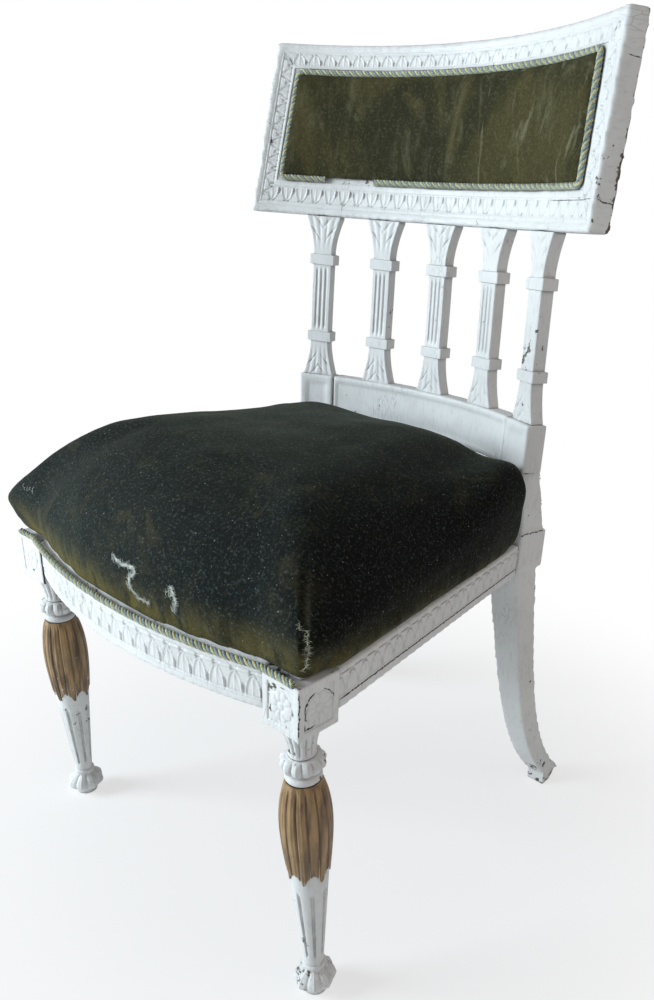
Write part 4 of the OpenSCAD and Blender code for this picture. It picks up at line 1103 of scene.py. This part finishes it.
def threads(name, tree, path, count, reach, seed, material, slot, thick=0.22, strip=0.0):
    """Loose threads that start along a path and lie across it, over a ragged strip of bared backing."""
    rng = np.random.default_rng(seed)
    base, normal, ahead, s = laid(tree, path, 0.5)
    across = unit(np.cross(normal, ahead))
    co, faces = [], []
    k = np.linspace(0, 1, 6)[:, None]
    corners = [(1, 0), (0, 1), (-1, 0), (0, -1)]
    for _ in range(count):
        i = rng.integers(len(base))
        way = unit(across[i] * rng.choice((-1, 1)) + ahead[i] * rng.normal(0, 0.5))
        length = reach * rng.uniform(0.3, 1.0)
        sideways = np.cross(normal[i], way)
        line = base[i] + ahead[i] * rng.uniform(-0.5, 0.5) + k * length * way
        line = line + rng.normal(0, 0.35) * length * k**2 * sideways
        line = line + (0.25 + rng.uniform(0.1, 0.35) * length * np.sin(math.pi * k)) * normal[i]
        r = thick * (1.0 - 0.5 * k)
        first = 24 * len(co)
        co.append(np.stack([line + r * (a * sideways + b * normal[i]) for a, b in corners], 1))
        faces += [[first + j for j in f] for f in grid_faces(6, 4, loop_v=True)]
    if strip:
        score(name + "_backing", tree, path, strip, material, slot, 0.3, seed)
    return piece(name, np.concatenate(co), faces, material, slot)


seat_skin, tablet_skin = skin(seat), skin(tablet)
threads("tear_long", seat_skin, [(11, -28, 420), (26, -29, 417), (43, -27, 418), (47, -28, 415), (39, -31, 407),
                                 (38, -30, 400), (40, -28, 392), (52, -27, 389), (64, -25, 388)], 230, 5.0, 3,
        FRAY, "green_velvet", strip=3.2)
threads("tear_short", seat_skin, [(91, -23, 416), (95, -24, 411), (99, -25, 405), (97, -24, 398), (94, -22, 391)],
        130, 4.6, 4, FRAY, "green_velvet", strip=3.0)
threads("tear_thread", seat_skin, [(83, -26, 408), (90, -25, 409), (96, -25, 408)], 16, 5.0, 5, FRAY, "green_velvet")
seam_path = [(224, 4, 427), (233, 1, 419), (238, -2, 413), (242, -3, 407), (238, -3, 396), (227, 1, 379)]
threads("corner_seam", seat_skin, seam_path, 90, 4.0, 6, SEAM, "green_velvet", strip=1.6)
threads("edge_marks", seat_skin, [(-203, -2, 424), (-192, -2, 426), (-181, -1, 425)], 14, 5.0, 7, FRAY, "green_velvet")

score("tablet_crack_high", tablet_skin, [(233.0, 373.0, 854.6), (237, 378, 853.6), (242, 385, 852.8)], 0.9, seed=2.0)
score("tablet_crack_low", tablet_skin, [(236.6, 346.5, 738.4), (242, 352.8, 735.6), (249, 362, 734.8)], 1.2, seed=3.0)
low_border = skin(bpy.data.objects["tablet_border_low"], bpy.data.objects["tablet_border_right"], tablet)
score("tablet_crack_front", low_border, [tablet_point(math.radians(a), 738.6, 3.0) for a in (25.3, 29, 33, 36.8)], 0.7,
      seed=4.0)
score("tablet_crack_small", low_border, [tablet_point(math.radians(-21), z, 3.0) for z in (716, 730)], 0.6, seed=5.0)

block_skin = skin(*(bpy.data.objects[n] for n in ("leg_block_r", "leg_block_side_r", "leg_block_front_r")))
middle = (RAIL_TOP + BLOCK_LOW) / 2


def block_arc(r, a0, a1):
    """An arc about the rosette on the right block's outer side."""
    return [(HALF_W + 1, BLOCK / 2 + r * math.cos(a), middle + r * math.sin(a))
            for a in np.radians(np.linspace(a0, a1, 24))]


score("block_arc_left", block_skin, block_arc(15.6, 105, 215), 1.8, seed=6.0)
score("block_arc_right", block_skin, block_arc(15.6, 10, 75), 0.9, seed=7.0)
score("block_mark", block_skin, [(HALF_W + 1, 6.5, BLOCK_LOW + 16), (HALF_W + 1, 7, BLOCK_LOW + 9.5),
                                 (HALF_W + 1, 19, BLOCK_LOW + 9)], 1.8, seed=8.0)
score("block_corner", block_skin, [(HALF_W + 1, -1, z) for z in np.linspace(RAIL_TOP - 3, BLOCK_LOW + 4, 12)], 1.1,
      seed=9.0)

# Painted shadow with soiling: a dark line along the lower step of each side rail's carved band.
for side, tag in ((-1, "l"), (1, "r")):
    rail = skin(bpy.data.objects[f"side_rail_carving_{tag}"],
                bpy.data.objects[("left" if side < 0 else "right") + "_side_rail_wood"])
    place = on_side_rail(side)
    line = [place(u, -0.4, 1.2) for u in np.linspace(4, rail_len - 1, 40)]
    score(f"rail_dirt_{tag}", rail, line, 1.5, seed=10.0 + side)
for side, post in posts.items():
    face = skin(post)
    sign = -1 if side == "left" else 1
    for z, width in ((TACK_TOP + 5, 1.3), (STAY_LOW, 1.0)):
        line = [(sign * (REAR_X + 14), y, z + 0.4 * math.sin(y)) for y in np.linspace(SEAT_D - 34, SEAT_D + 34, 24)]
        score(f"post_joint_{side}_{round(z)}", face, line, width, seed=z)

# What is left of the torn cloth hangs below the right rail beside the rear leg.
rag = []
us = np.linspace(8, 84, 60)
for u in us:
    top = on_side_rail(1)(np.array(u), 0, 0) - [13, 0, 9.5]
    drop = 4.5 + 5.5 * abs(noise.noise(Vector((u / 7, 2, 0)))) + 5.0 * max(0, noise.noise(Vector((u / 2.1, 5, 0))))
    rag.append([top + [0, 0, 1.5], top + [1.5, 0, -drop * 0.6 * smooth(u, 8, 20)], top + [3.2, 0, -drop * smooth(u, 8, 20)]])
piece("dust_cloth_rag", rag, grid_faces(len(us), 3), DUST, "dust_cloth")

# ---------------------------------------------------------------- under the seat

for node, material in (("long_webbing", JUTE), ("cross_webbing", JUTE), ("hessian", JUTE), ("dust_cloth", DUST),
                       ("front_left_brace", WOOD), ("front_right_brace", WOOD), ("rear_left_block", WOOD),
                       ("rear_right_block", WOOD), ("joint_pegs", WOOD)):
    frame["nodes"][node].data.materials.clear()
    frame["nodes"][node].data.materials.append(material)
